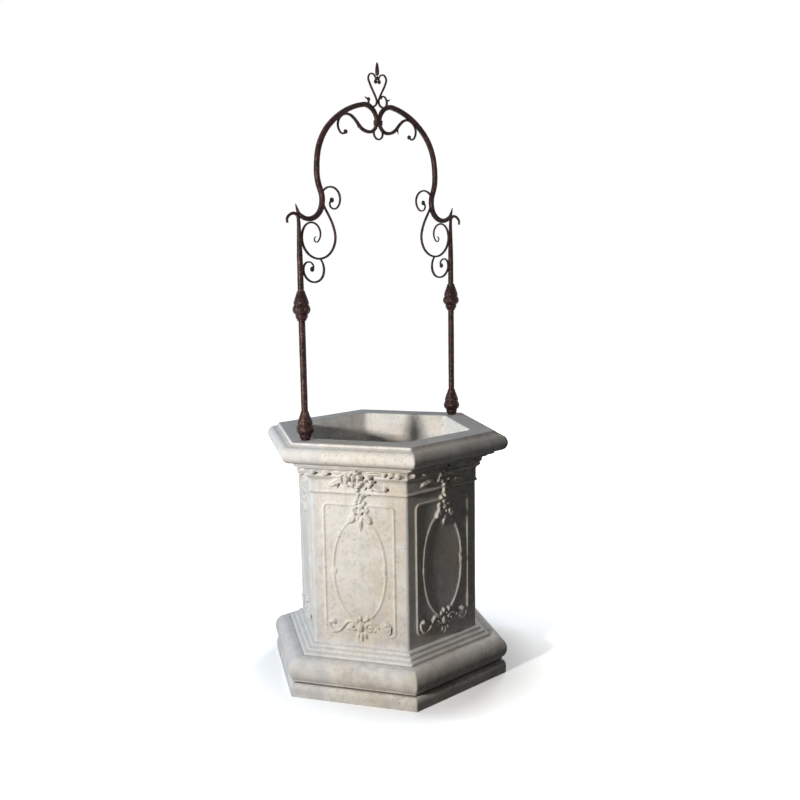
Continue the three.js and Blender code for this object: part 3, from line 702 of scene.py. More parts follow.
@dataclass
class SidePlan:
    """The plan of one side of the hexagon, as columns across it, with its corners a little rounded."""

    carved_half: float
    carved_gap: float
    plain_columns: int
    corner_round: float
    mouth_round: float = 26.0
    mouth_faces: Pair = (270.0, 300.0)
    most_round: float = 0.2
    most_carved: float = 0.97
    corner_columns: int = 5
    aside: float = 60.0

    def columns(self) -> list[tuple[Column, float]]:
        """Lists the columns of the right half, as kinds with a distance, share or angle."""
        count = round(self.carved_half / self.carved_gap)
        found = [(Column.CARVED, self.carved_gap * step) for step in range(count + 1)]
        found += [(Column.PLAIN, step / self.plain_columns) for step in range(1, self.plain_columns + 1)]
        for step in range(1, self.corner_columns + 1):
            found.append((Column.CORNER, SIDE_ANGLE / 2 * step / self.corner_columns))
        return found

    def along(self) -> np.ndarray:
        """Gives each column's distance from the middle, or a distance past the carving beside it."""
        past = self.carved_half + self.aside
        half = [value if kind is Column.CARVED else past for kind, value in self.columns()]
        return np.array([-x for x in half[:0:-1]] + half)

    def place(self, faces: np.ndarray) -> tuple[np.ndarray, np.ndarray]:
        """Places the columns for rows at given distances from the axis.

        Args:
            faces: the distance of each row's flat from the axis.

        Returns:
            Distances out from the axis and along the side, as rows by columns.
        """
        rounding = np.interp(faces, self.mouth_faces, (self.mouth_round, self.corner_round))
        round_off = np.minimum(rounding, faces * self.most_round)
        ends = (faces - round_off) * TAN_HALF_SIDE
        limit = np.minimum(self.carved_half, ends * self.most_carved)
        out, along = [], []
        for kind, value in self.columns():
            if kind is Column.CORNER:
                out.append(faces - round_off + round_off * math.cos(value))
                along.append(ends + round_off * math.sin(value))
            else:
                out.append(faces)
                share = value * limit / self.carved_half
                along.append(share if kind is Column.CARVED else limit + value * (ends - limit))
        half_out, half_along = np.array(out).T, np.array(along).T
        both_out = np.concatenate([half_out[:, :0:-1], half_out], axis=1)
        both_along = np.concatenate([-half_along[:, :0:-1], half_along], axis=1)
        return both_out, both_along


def grid_mesh(name: str, grid: np.ndarray, wrapped: bool, hollow: np.ndarray | None = None) -> bpy.types.Mesh:
    """Makes a closed mesh from a grid whose rows close on themselves.

    Args:
        name: the mesh's name.
        grid: rows by columns by 3, in millimetres.
        wrapped: whether the last column meets the first; otherwise both ends get a cap.
        hollow: a number for each point, how deep it lies in the carving.

    Returns:
        The mesh, in metres.
    """
    rows, columns = grid.shape[:2]
    index = np.arange(rows * columns).reshape(rows, columns)
    across = columns if wrapped else columns - 1
    up = np.roll(index, -1, axis=0)
    right, up_right = np.roll(index, -1, axis=1), np.roll(up, -1, axis=1)
    quads = np.stack([index, right, up_right, up], axis=-1)[:, :across].reshape(-1, 4)
    faces: list[Any] = quads.tolist()
    if not wrapped:
        faces += [index[:, 0].tolist(), index[::-1, -1].tolist()]
    mesh = bpy.data.meshes.new(name)
    mesh.from_pydata((grid.reshape(-1, 3) * MM).tolist(), [], faces)
    carried = mesh.attributes.new("hollow", "FLOAT", "POINT")
    values = np.zeros(rows * columns) if hollow is None else hollow.reshape(-1)
    carried.data.foreach_set("value", values.astype(np.float32))
    finish_mesh(mesh)
    return mesh


def finish_mesh(mesh: bpy.types.Mesh, sharp: float = 40.0) -> None:
    """Points the faces outward, and shades the mesh smooth with its sharp edges kept.

    Args:
        mesh: a closed mesh.
        sharp: the angle in degrees from which an edge stays sharp.
    """
    made = bmesh.new()
    made.from_mesh(mesh)
    bmesh.ops.recalc_face_normals(made, faces=made.faces)
    for face in made.faces:
        face.smooth = True
    limit = math.radians(sharp)
    for edge in made.edges:
        edge.smooth = not edge.is_manifold or edge.calc_face_angle(0.0) < limit
    made.to_mesh(mesh)
    made.free()


def turned_to(side: int, out: np.ndarray, along: np.ndarray, up: np.ndarray) -> np.ndarray:
    """Turns places on a side into the frame.

    Args:
        side: which side, counted from the one at 30 degrees.
        out: distances from the axis.
        along: distances along the side.
        up: heights.

    Returns:
        Points, rows by columns by 3.
    """
    angle = SIDE_ANGLE * (side + 0.5)
    x = out * math.cos(angle) - along * math.sin(angle)
    y = out * math.sin(angle) + along * math.cos(angle)
    return np.stack([x, y, np.broadcast_to(up, out.shape)], axis=-1)


# Carving


class Relief:
    """A height map over one side of the well: how far the carving stands out at each point."""

    groove_width = 1.8
    dome_power = 2.4
    dome_groove = 0.75
    dish_width = 0.5
    drill_depth = 1.4
    leaf_belly = 0.72
    leaf_fullness = 0.75
    leaf_power = 2.6
    leaf_swell = 0.3
    leaf_swell_power = 0.8
    leaf_fall = 0.55
    lobe_depth = 0.3
    lobe_power = 0.6
    midrib_depth = 0.42
    midrib_share = 0.06
    midrib_least = 0.7
    vein_depth = 0.16
    vein_slant = 0.9
    petal_cleft = 0.38
    petal_cleft_power = 0.55
    petal_power = 5
    petal_dish = 0.5
    petal_dish_power = 1.6
    petal_sink = 0.4
    petal_groove = 0.6
    boss_share = 0.27
    boss_groove = 0.4
    arc_steps = 14
    arc_end = 0.5
    stroke_fall = 0.65
    stroke_groove = 0.45
    volute_steps = 22
    volute_closing = 0.62
    volute_power = 0.85
    volute_end = 0.7
    volute_ball = 0.34
    volute_ball_rise = 1.15

    def __init__(self, along: np.ndarray, heights: np.ndarray) -> None:
        """Starts with nothing carved.

        Args:
            along: the distance of each column from the middle of the side.
            heights: the height of each row.
        """
        self.x, self.z = np.meshgrid(along, heights)
        self.rise = np.zeros_like(self.x)
        self.pit = np.zeros_like(self.x)

    def lay(self, rise: np.ndarray, outside: np.ndarray, groove: float = 0.5) -> None:
        """Lays a carved form over what is there, with a groove cut round it.

        Args:
            rise: the form's height, 0 outside it.
            outside: the distance from its edge, for points outside it.
            groove: the share of the carving that is cut away beside it.
        """
        beside = np.where(rise > 0, 0.0, np.exp(-((outside / self.groove_width) ** 2)))
        self.rise = np.maximum(self.rise * (1 - groove * beside), rise)

    def local(self, middle: Pair, turn: float) -> tuple[np.ndarray, np.ndarray]:
        """Gives the points' places in a form's own turned frame.

        Args:
            middle: the form's own origin.
            turn: the turn in radians.

        Returns:
            Places along and across the form.
        """
        dx, dz = self.x - middle[0], self.z - middle[1]
        cos, sin = math.cos(turn), math.sin(turn)
        return dx * cos + dz * sin, dz * cos - dx * sin

    def dome(self, middle: Pair, size: Pair, rise: float, turn: float = 0.0, dish: float = 0.0) -> None:
        """Carves a bud, a berry or a dished petal.

        Args:
            middle: its middle.
            size: its half length and half width.
            rise: its height.
            turn: its turn in degrees.
            dish: how deep its middle is sunk, as a share of its height.
        """
        u, v = self.local(middle, math.radians(turn))
        q = np.hypot(u / size[0], v / size[1])
        form = rise * np.clip(1 - q**self.dome_power, 0, 1) ** 0.5
        form = form * (1 - dish * np.exp(-((q / self.dish_width) ** 2)))
        self.lay(form, (q - 1) * min(size), self.dome_groove)

    def drill(self, middle: Pair, size: Pair, turn: float = 0.0) -> None:
        """Cuts a deep eye or slit beside a raised form.

        Args:
            middle: its middle.
            size: its half length and half width.
            turn: its turn in degrees.
        """
        u, v = self.local(middle, math.radians(turn))
        q = np.hypot(u / size[0], v / size[1])
        self.pit = np.maximum(self.pit, np.clip(self.drill_depth * (1 - q**2), 0, 1))

    def leaf(
        self, root: Pair, tip: Pair, width: float, rise: float, lobes: int = 0, bend: float = 0.0
    ) -> None:
        """Carves a leaf with a sunk midrib, veins and lobed edges.

        Args:
            root: where it starts.
            tip: where it ends.
            width: its full width.
            rise: its height.
            lobes: how many lobes each edge has.
            bend: how far its middle is bent aside, as a share of its length.
        """
        length = math.dist(root, tip)
        u, v = self.local(root, math.atan2(tip[1] - root[1], tip[0] - root[0]))
        s = np.clip(u / length, 1e-4, 1 - 1e-4)
        v = v - bend * length * 4 * s * (1 - s)
        half = 0.5 * width * np.sin(np.pi * s**self.leaf_belly) ** self.leaf_fullness
        notch = np.abs(np.sin(np.pi * lobes * s)) ** self.lobe_power if lobes else 1.0
        half = half * (1 - self.lobe_depth + self.lobe_depth * notch) + 0.01
        q = np.abs(v) / half
        inside = (q < 1) & (u > 0) & (u < length)
        rib = 1 - self.midrib_depth * np.exp(-((v / (self.midrib_share * width + self.midrib_least)) ** 2))
        veins = 1 - self.vein_depth * np.cos(2 * np.pi * (lobes * s - self.vein_slant * q)) if lobes else 1.0
        swell = 1 - self.leaf_swell + self.leaf_swell * np.sin(np.pi * s**self.leaf_swell_power)
        swell = swell * (1 - self.leaf_fall * s)
        form = rise * np.sqrt(np.clip(1 - q**self.leaf_power, 0, 1)) * rib * veins * swell
        beyond = np.maximum(np.maximum(-u, u - length), 0)
        self.lay(np.where(inside, form, 0), np.hypot(np.maximum(np.abs(v) - half, 0), beyond))

    def flower(self, middle: Pair, radius: float, rise: float, petals: int = 5, turn: float = 0.0) -> None:
        """Carves an open flower with dished petals round a boss.

        Args:
            middle: its middle.
            radius: its radius.
            rise: its height.
            petals: how many petals it has.
            turn: its turn in degrees.
        """
        u, v = self.local(middle, math.radians(turn))
        r, angle = np.hypot(u, v), np.arctan2(v, u)
        cleft = np.abs(np.cos(petals * angle / 2))
        edge = radius * (1 - self.petal_cleft + self.petal_cleft * cleft**self.petal_cleft_power)
        q = r / edge
        dish = 1 - self.petal_dish + self.petal_dish * q**self.petal_dish_power
        form = rise * np.sqrt(np.clip(1 - q**self.petal_power, 0, 1)) * dish
        form = form * (1 - self.petal_sink + self.petal_sink * cleft**0.5)
        self.lay(form, r - edge, self.petal_groove)
        boss = self.boss_share * radius
        self.lay(rise * np.sqrt(np.clip(1 - (r / boss) ** 2, 0, 1)), r - boss, self.boss_groove)

    def arc(self, middle: Pair, radius: float, turns: Pair, width: float, rise: float) -> None:
        """Carves a curved rib, thinner at its ends, such as the rim of a petal.

        Args:
            middle: the middle of its curve.
            radius: the radius of its curve.
            turns: the angles in degrees where it starts and ends.
            width: its full width.
            rise: its height.
        """
        line = bow(middle, (radius, radius), *turns, self.arc_steps)
        top = self.arc_steps // 2
        self.stroke(line[: top + 1], width, rise, (self.arc_end, 1.0))
        self.stroke(line[top:], width, rise, (1.0, self.arc_end))

    def stroke(self, points: list[Pair], width: float, rise: float, ends: Pair = (1.0, 1.0)) -> None:
        """Carves a rounded rib along a line.

        Args:
            points: the line.
            width: its full width.
            rise: its height.
            ends: the share of the width at its start and end.
        """
        line = np.array(points, dtype=float)
        steps = np.hypot(*(line[1:] - line[:-1]).T)
        travelled = np.concatenate([[0.0], np.cumsum(steps)]) / max(steps.sum(), 1e-6)
        nearest = np.full(self.x.shape, 1e9)
        share = np.zeros(self.x.shape)
        for place in range(len(steps)):
            (ax, az), (bx, bz) = line[place], line[place + 1]
            along = (self.x - ax) * (bx - ax) + (self.z - az) * (bz - az)
            t = np.clip(along / max(steps[place] ** 2, 1e-9), 0, 1)
            gap = np.hypot(self.x - ax - t * (bx - ax), self.z - az - t * (bz - az))
            here = gap < nearest
            nearest = np.where(here, gap, nearest)
            local = travelled[place] + t * (travelled[place + 1] - travelled[place])
            share = np.where(here, local, share)
        half = 0.5 * width * (ends[0] + (ends[1] - ends[0]) * share)
        form = rise * (1 - self.stroke_fall + self.stroke_fall * half / (0.5 * width))
        form = form * np.clip(1 - (nearest / half) ** 2, 0, 1) ** 0.5
        self.lay(form, nearest - half, self.stroke_groove)

    def volute(
        self, middle: Pair, radius: float, start: float, turns: float, width: float, rise: float
    ) -> None:
        """Carves a scroll that winds in to a ball.

        Args:
            middle: its middle.
            radius: its outer radius, at the middle of the rib.
            start: where it starts, in degrees.
            turns: how many turns it makes; negative is clockwise.
            width: the width of its rib.
            rise: its height.
        """
        count = int(abs(turns) * self.volute_steps) + 2
        points = []
        for step in range(count):
            share = step / (count - 1)
            angle = math.radians(start) + math.tau * turns * share
            reach = radius * (1 - self.volute_closing * share**self.volute_power)
            points.append((middle[0] + reach * math.cos(angle), middle[1] + reach * math.sin(angle)))
        self.stroke(points, width, rise, (1.0, self.volute_end))
        self.dome(middle, (radius * self.volute_ball,) * 2, rise * self.volute_ball_rise)


def blurred(values: np.ndarray, passes: int) -> np.ndarray:
    """Averages a grid with its neighbours.

    Args:
        values: the grid.
        passes: how many times.

    Returns:
        The averaged grid.
    """
    for _ in range(passes):
        wide = np.pad(values, 1, mode="edge")
        beside = wide[:-2, 1:-1] + wide[2:, 1:-1] + wide[1:-1, :-2] + wide[1:-1, 2:]
        values = 0.5 * values + 0.125 * beside
    return values


# The carving of one side, in the order in which it is laid. Places are (along, height), angles in degrees.
# leaf: root, tip, width, rise, lobes on each edge, bend. flower: middle, radius, rise, petals, turn.
# dome: middle, half length and half width, rise, turn, dish. drill: middle, half length and half width, turn.
# stroke: points, width, rise. volute: middle, radius, start, turns, width, rise.
# arc: middle, radius, start and end, width, rise.
ORNAMENT = (
    # A flower and a leafy bud on the sides of the oval
    (Relief.flower, (((-91, 424), 11, 8.5, 4, 45),)),
    (Relief.leaf, (((93, 428), (84, 452), 11, 8), ((93, 432), (88, 408), 11, 8))),
    (Relief.dome, (((93, 430), (4.5, 4.5), 8.5),)),
    # The garland that hangs over the head of the oval
    (Relief.leaf, (
        ((1, 684), (44, 693), 11, 9, 0, 0.1),
        ((-2, 690), (-30, 697), 10, 5, 0, -0.1),
        ((8, 611), (6, 563), 17, 15, 0, 0.0),
    )),
    (Relief.flower, (
        ((-14, 636), 10.5, 14, 5, 10),
        ((8, 650), 10.5, 15, 5, 40),
        ((28, 637), 10.5, 14, 5, 70),
        ((7, 628), 11, 16, 4, 20),
        ((24, 618), 9, 12, 4, 0),
    )),
    (Relief.dome, (
        ((8, 643), (30, 18), 3, 90, 0),
        ((3, 684), (20, 7.5), 13, 94, 0),
        ((-6, 661), (9, 8), 13, 0, 0.2),
        ((21, 661), (9, 8), 13, 0, 0.2),
        ((14, 680), (8, 7), 12, 80, 0.15),
        ((8, 667), (9, 8), 15, 100, 0.2),
        ((-22, 606), (18, 11), 14, 48, 0.45),
        ((36, 606), (18, 11.5), 14, 130, 0.45),
        ((-2, 608), (9, 6), 10, 90, 0.2),
        ((15, 611), (9, 6), 10, 90, 0.2),
        ((-16, 624), (7, 6), 9, 40, 0.2),
    )),
    # The scrolls, palmette and pendants under the oval
    (Relief.stroke, (
        (
            (
                (-92, 239), (-91, 245), (-97, 251), (-107, 250), (-114, 242),
                (-113, 230), (-106, 219), (-95, 212), (-83, 212),
            ),
            9, 9,
        ),
        (((-83, 212), (-72, 218), (-61, 231), (-52, 243), (-43, 251), (-32, 252)), 9, 9),
        (((38, 249), (50, 247), (60, 241), (68, 235)), 9, 9),
    )),
    (Relief.volute, (
        ((-28, 233), 17, 105, -1.1, 9, 9),
        ((34, 232), 17, 75, 1.1, 9, 9),
    )),
    (Relief.dome, (
        ((-100, 246), (11, 8), 11, 20, 0),
        ((91, 233), (22, 21), 8, 0, 0.1),
        ((95, 248), (12, 7), 12, 0, 0),
        ((66, 237), (8, 7), 9, 0, 0),
        ((-1, 230), (16, 13), 12, 90, 0),
        ((-12, 256), (9, 7), 8, 100, 0.1),
        ((1, 264), (10, 6), 9, 90, 0),
        ((23, 262), (14, 7), 10, 38, 0),
        ((12, 253), (8, 5), 9, 60, 0),
        ((-8, 201), (12, 5), 8, 80, 0),
        ((5, 196), (15, 5.5), 9, 90, 0),
        ((19, 202), (11, 5), 8, 100, 0),
        ((-44, 224), (6, 5), 6, 60, 0),
        ((50, 222), (6, 5), 6, 120, 0),
    )),
    (Relief.arc, (((91, 233), 21, (150, -110), 7.5, 11),)),
    # The leaves, buds and rose on the frieze
    (Relief.leaf, (
        ((-50, 739), (-103, 711), 24, 13, 2, -0.04),
        ((34, 727), (104, 709), 27, 16, 2, -0.06),
        ((36, 764), (104, 760), 19, 15, 0, 0.08),
        ((134, 772), (106, 750), 18, 17, 0, 0),
        ((-50, 760), (-84, 762), 11, 8, 0, -0.06),
    )),
    (Relief.dome, (
        ((-103, 758), (14, 9), 14, 0),
        ((-149, 759), (12, 9), 13, 0),
        ((146, 760), (13, 11), 15, 0),
        ((51, 712), (9, 8), 14, 0),
        ((96, 712), (9, 10), 12, 0),
        ((98, 761), (8, 8), 12, 0),
        ((-27, 740), (20, 20), 6, 0, 0),
        ((2, 737), (22, 20), 10, 0, 0),
        ((-30, 740), (24, 11), 22, 94, 0.12),
        ((-13, 760), (14, 8), 18, 25, 0),
        ((-9, 744), (14, 8.5), 22, 80, 0.25),
        ((-13, 722), (17, 9), 20, -36, 0.1),
        ((9, 724), (17, 9), 21, 42, 0.1),
        ((0, 709), (12, 8), 15, 90, 0.1),
        ((3, 736), (8, 6), 18, 30, 0.4),
        ((6, 766), (14, 6), 18, 25, 0),
        ((13, 750), (11.5, 11), 26, 0, 0.1),
        ((32, 741), (9, 7), 15, 70, 0),
        ((46, 749), (12, 9), 20, -30, 0),
        ((51, 735), (10, 8), 19, -15, 0),
        ((46, 722), (12, 9), 20, 30, 0),
    )),
    (Relief.arc, (
        ((-31, 740), 22.5, (75, 280), 5, 15),
        ((-2, 738), 24, (232, 300), 7, 16),
    )),
    # Drilled eyes and slits
    (Relief.drill, (
        ((7, 252), (10, 1.6), 105),
        ((-91, 237), (6, 2.2), 60),
        ((113, 232), (11, 2.2), 80),
        ((-66, 715), (12, 3.0), 58),
        ((31, 711), (11, 3.4), 55),
        ((122, 754), (9, 3.0), 45),
        ((26, 749), (6, 3.6), 80),
        ((7, 773), (7, 2.8), 30),
        ((58, 749), (6, 3.6), 60),
        ((64, 734), (5, 3.6), 80),
        ((56, 724), (6, 3.6), 20),
        ((107, 762), (5, 2.8), 80),
        ((107, 710), (6, 2.6), 75),
        ((-90, 756), (5.5, 4.5), 0),
        ((-138, 758), (5.5, 4.5), 0),
        ((27, 682), (4, 3.4), 0),
        ((42, 689), (4, 3.4), 0),
        ((-4, 643), (6, 2.4), 65),
        ((19, 645), (6, 2.4), 115),
        ((17, 626), (5, 2.2), 70),
        ((-5, 621), (5, 2.2), 120),
        ((-2, 667), (5, 2.2), 80),
        ((-3, 736), (5, 2.0), 60),
        ((-19, 741), (9, 1.8), 90),
    )),
)


# Stone castings


@dataclass
class StoneSizes:
    """Sizes of the stone that more than one casting shares, in millimetres."""

    body_face: float = 286.0
    mouth_face: float = 268.0
    lining_face: float = 247.0
    base_top: float = 164.2
    body_top: float = 787.2
    rim_top: float = 866.2
    wear: Pair = (1.6, 14.0)


@dataclass
class WellBody:
    """The hexagonal body: six carved sides under a moulded frieze."""

    shop: Workshop
    sizes: StoneSizes
    ledge_z: float = 690.2
    band_z: float = 699.2
    cornice_z: float = 743.2
    cavetto_z: float = 752.2
    fillet_z: float = 776.2
    ledge_reach: float = 7.0
    band_reach: float = 3.0
    cornice_reach: float = 17.0
    fillet_reach: float = 36.0
    panel_middle: float = 429.2
    frame_half: float = 125.0
    frame_top: float = 653.2
    frame_foot: float = 207.0
    frame_corner: float = 16.0
    frame_stub: float = 14.0
    oval_half: Pair = (94.0, 177.0)
    bead: Pair = (8.0, 4.2)
    cavetto: Pair = (18.0, 24.0)
    ground_heights: tuple[float, ...] = (690, 700, 735, 752, 768, 776, 787)
    ground_reaches: tuple[float, ...] = (0, 3, 5, 13, 19, 26, 30)
    fine_heights: tuple[Pair, ...] = ((176, 300), (585, 787))
    least_rise: float = 0.4
    # Crevices are darkened, grime and painted shade, and proud carving is lightened, a painted highlight:
    # least, full, most
    crevice: Triple = (0.6, 7.0, 0.55)
    proud: Triple = (0.4, 5.0, 0.7)
    near_passes: int = 6
    far_passes: int = 24
    far_share: float = 0.85
    eye_depth: float = 6.0
    # How much lighter the corner columns are painted: a painted highlight along the side's corners
    corner_highlight: float = 0.5
    plan: SidePlan = field(default_factory=lambda: SidePlan(156.0, 2.0, 2, 5.0))

    def profile(self) -> list[Pair]:
        """Gives the closed outline of the wall as (face, height), from the outer foot upwards."""
        s, face = self.sizes, self.sizes.body_face
        cavetto_face = face + self.cornice_reach - self.band_reach
        middle = (cavetto_face + self.cavetto[0], self.cavetto_z)
        hollow = [(x, z, 0.0) for x, z in bow(middle, self.cavetto, 180, 90, 7)[1:]]
        outer = softened(
            [
                (face, s.base_top, 0),
                (face, self.ledge_z - 1.5, 4),
                (face + self.ledge_reach, self.ledge_z + 1.8, 3),
                (face + self.ledge_reach, self.ledge_z + 5, 3),
                (face + self.band_reach, self.band_z + 0.5, 3),
                (face + self.band_reach, self.cornice_z - 7, 9),
                (face + self.cornice_reach - 1, self.cornice_z + 4.2, 5),
                (face + self.cornice_reach, self.cavetto_z, 4),
                (cavetto_face + 0.6, self.cavetto_z + 0.3, 1),
                *hollow,
                (face + self.fillet_reach, self.fillet_z + 1.5, 5),
                (face + self.fillet_reach, s.body_top, 0),
            ]
        )
        inner = [
            (s.mouth_face, s.body_top),
            (s.mouth_face, self.cornice_z),
            (s.lining_face, self.band_z),
            (s.lining_face, s.base_top),
            (face, s.base_top),
        ]
        outer = spread(outer, 4.0, self.fine_heights)
        return outer + spread([outer[-1], *inner], 30.0)[1:-1]

    def frame_line(self) -> list[Pair]:
        """Gives the line of the raised frame, which is open at its foot."""
        corner = self.frame_corner
        x, low, high = self.frame_half - corner, self.frame_foot + corner, self.frame_top - corner
        line = [(x - self.frame_stub, self.frame_foot)]
        for side, z, start in ((1, low, -90), (1, high, 0), (-1, high, 90), (-1, low, 180)):
            line += bow((side * x, z), (corner, corner), start, start + 90, 4)
        return [*line, (self.frame_stub - x, self.frame_foot)]

    def carve(self, along: np.ndarray, heights: np.ndarray) -> Relief:
        """Carves the whole side.

        Args:
            along: the distance of each column from the middle.
            heights: the height of each row.

        Returns:
            The height map.
        """
        relief = Relief(along, heights)
        oval = bow((0.0, self.panel_middle), self.oval_half, 0, 360, 72)
        for line in (self.frame_line(), oval):
            relief.stroke(line, *self.bead)
        for carve, forms in ORNAMENT:
            for form in forms:
                carve(relief, *form)
        return relief

    def shaded(self, depth: np.ndarray, shift: np.ndarray, rise: np.ndarray, pit: np.ndarray) -> np.ndarray:
        """Tells how hollow each point of the carved face lies, below 0 where it is proud; the finish makes
        the hollows darker, grime and painted shade, and what is proud lighter, a painted highlight.

        Args:
            depth: how hollow the profile is at each row.
            shift: how far the carving moves each point out.
            rise: the carving's height.
            pit: how deep the drilled eyes are.

        Returns:
            A number from -1 to 1 for each point.
        """
        near, far = blurred(shift, self.near_passes), blurred(shift, self.far_passes)
        least, full, most = self.crevice
        crevice = np.clip((np.maximum(near, self.far_share * far) - shift - least) / full, 0, most)
        least, full, most = self.proud
        # Painted highlight on proud carving
        proud = most * np.clip(rise / full - least, 0, 1) * (crevice <= 0)
        hollow = np.maximum(depth[:, None] * (rise <= self.least_rise), crevice) - proud
        # Drilled eyes are painted dark as well as cut: painted shade
        return np.clip(np.maximum(hollow, pit), -1, 1)

    def mesh(self) -> bpy.types.Mesh:
        """Makes one side, its carving laid over the profile."""
        profile = self.profile()
        faces, heights = np.array(profile).T
        along = self.plan.along()
        outer = np.argmax(heights) + 1
        relief = self.carve(along, heights[:outer])
        rise = blurred(relief.rise, 2)
        ground = np.interp(heights[:outer], self.ground_heights, self.ground_reaches) + self.sizes.body_face
        face = np.repeat(faces[:outer, None], along.size, axis=1)
        lifted = np.where(rise > self.least_rise, np.maximum(face, ground[:, None] + rise), face)
        lifted = lifted - self.eye_depth * relief.pit
        plain = np.abs(along) > self.plan.carved_half
        lifted[:, plain] = face[:, plain]
        shift = lifted - face
        out, across = self.plan.place(faces)
        out[:outer] += blurred(shift, 1)
        depth = corner_depth(profile)
        hollow = np.repeat(depth[:, None], along.size, axis=1)
        hollow[:outer] = self.shaded(depth[:outer], shift, rise, relief.pit)
        # Painted highlight down the side's rounded corners
        hollow[:, : self.plan.corner_columns] -= self.corner_highlight
        hollow[:, -self.plan.corner_columns :] -= self.corner_highlight
        grid = np.stack([out, across, np.broadcast_to(heights[:, None], out.shape)], axis=-1)
        return grid_mesh("well_side", grid, False, hollow)

    def build(self) -> None:
        """Makes the six sides."""
        mesh = self.mesh()
        for side in range(SIDES):
            name, turn = f"well_side_{side + 1}", SIDE_ANGLE * (side + 0.5)
            self.shop.cast(mesh.copy(), name, self.sizes.wear, Finish.BODY, "well_body", turn)


@dataclass
class HexRing:
    """A moulded casting carried round the hexagon."""

    shop: Workshop
    sizes: StoneSizes
    plan: SidePlan = field(default_factory=lambda: SidePlan(60.0, 8.0, 14, 7.0))

    def grid(self, profile: list[Pair], centre: float = 0.0) -> tuple[np.ndarray, np.ndarray]:
        """Carries an outline round all six sides.

        Args:
            profile: the closed outline as (face, height).
            centre: inside this face distance, the hexagon turns into a circle.

        Returns:
            The grid of points and how hollow each one lies.
        """
        faces, heights = np.array(profile).T
        out, along = self.plan.place(faces)
        if centre:
            inner = centre * 0.5
            round_share = np.clip(1 - (faces - inner) / (inner + 1e-6), 0, 1)[:, None]
            circle = faces[:, None] / np.maximum(np.hypot(out, along), 1e-6)
            blend = 1 + (circle - 1) * round_share
            out, along = out * blend, along * blend
        sides = [turned_to(side, out, along, heights[:, None])[:, :-1] for side in range(SIDES)]
        grid = np.concatenate(sides, axis=1)
        # Corners are painted darker, grime and painted shade, and arrises lighter, a painted highlight,
        # through the finish
        hollow = np.clip(np.repeat(corner_depth(profile)[:, None], grid.shape[1], axis=1), -1, 1)
        return grid, hollow

    def build_from(
        self, name: str, profile: list[Pair], finish: Finish, node: str, centre: float = 0.0
    ) -> None:
        """Makes the ring as a piece.

        Args:
            name: the piece's name.
            profile: the closed outline as (face, height).
            finish: the piece's finish.
            node: the CAD node that it stands for.
            centre: inside this face distance, the hexagon turns into a circle.
        """
        grid, hollow = self.grid(profile, centre)
        self.shop.cast(grid_mesh(f"{name}_start", grid, True, hollow), name, self.sizes.wear, finish, node)


@dataclass
class BasePlinth(HexRing):
    """The base: a plinth, a fat roll, three steps, and a floor with a drain."""

    plinth_face: float = 381.0
    plinth_height: float = 44.0
    listel_face: float = 369.0
    listel_height: float = 14.0
    groove_face: float = 363.0
    roll_face: float = 347.0
    roll_z: float = 87.7
    roll_size: Pair = (37.0, 42.0)
    steps_z: float = 129.7
    tread: float = 14.0
    rise: float = 8.0
    fall: float = 3.5
    floor: float = 50.0
    drain: float = 20.0

    def profile(self) -> list[Pair]:
        """Gives the closed outline as (face, height), from the ground up."""
        s = self.sizes
        steps = []
        for step in range(3):
            face = s.body_face + (3 - step) * self.tread
            foot = self.steps_z + step * (self.rise + self.fall)
            steps += [(face, foot, 4.0), (face, foot + self.rise, 4.0)]
        outer = softened(
            [
                (self.plinth_face, 0.0, 0),
                (self.plinth_face, self.plinth_height - 13, 9),
                (self.plinth_face - 6, self.plinth_height - 0.5, 7),
                (self.groove_face, self.plinth_height + 1.5, 2.5),
                (self.groove_face, self.plinth_height + 6, 2),
                (self.listel_face, self.plinth_height + 7, 2),
                (self.listel_face, self.plinth_height + self.listel_height, 2),
                *roll((self.roll_face, self.roll_z), self.roll_size, -45, (0,)),
                *steps,
                (s.body_face - 0.6, s.base_top, 0),
            ]
        )
        inner = [
            (s.lining_face, s.base_top),
            (s.lining_face, self.floor),
            (self.drain, self.floor),
            (self.drain, 0.0),
            (self.plinth_face, 0.0),
        ]
        outer = spread(outer, 5.0)
        return outer + spread([outer[-1], *inner], 24.0)[1:-1]

    def build(self) -> None:
        """Makes the base."""
        self.build_from("base_casting", self.profile(), Finish.BASE, "base_plinth", 120.0)


@dataclass
class CopingRing(HexRing):
    """The coping: a quirk, a fat roll and a flat top."""

    quirk_face: float = 344.0
    quirk_height: float = 12.0
    roll_face: float = 361.4
    roll_z: float = 826.2
    roll_size: Pair = (24.0, 27.0)
    top_face: float = 346.0
    arris_height: float = 8.0

    def profile(self) -> list[Pair]:
        """Gives the closed outline as (face, height), from the quirk up."""
        s = self.sizes
        outer = softened(
            [
                (self.quirk_face, s.body_top, 0),
                (self.quirk_face, s.body_top + self.quirk_height, 2.5),
                *roll((self.roll_face, self.roll_z), self.roll_size, -90, (0, 14)),
                (self.top_face + 4, s.rim_top - self.arris_height, 3.5),
                (self.top_face + 1.5, s.rim_top, 4.5),
                (s.mouth_face, s.rim_top, 5),
                (s.mouth_face, s.body_top, 0),
            ]
        )
        outer = spread(outer, 6.0)
        return outer + spread([outer[-1], outer[0]], 24.0)[1:-1]

    def build(self) -> None:
        """Makes the coping."""
        self.build_from("coping_casting", self.profile(), Finish.RIM, "coping_ring")


# Ironwork

# The most degrees that one edge of a bar turns, in what is seen
FINE_TURN = 5.0
# The same in the solids: scrolls take their places from runs drawn like this, and so lie where the solids do
COARSE_TURN = 23.0
# The shortest edge of a finely drawn run
SHORTEST_EDGE = 2.5


@dataclass(frozen=True)
class Course:
    """The way that a bar of the right-hand half takes.

    It starts at shares of the half span from the middle of the spring line, with a heading in degrees.
    Each arc is a turn in degrees, negative when clockwise, and a radius as a share of the half span.
    """

    start: Pair
    heading: float
    arcs: tuple[Pair, ...]


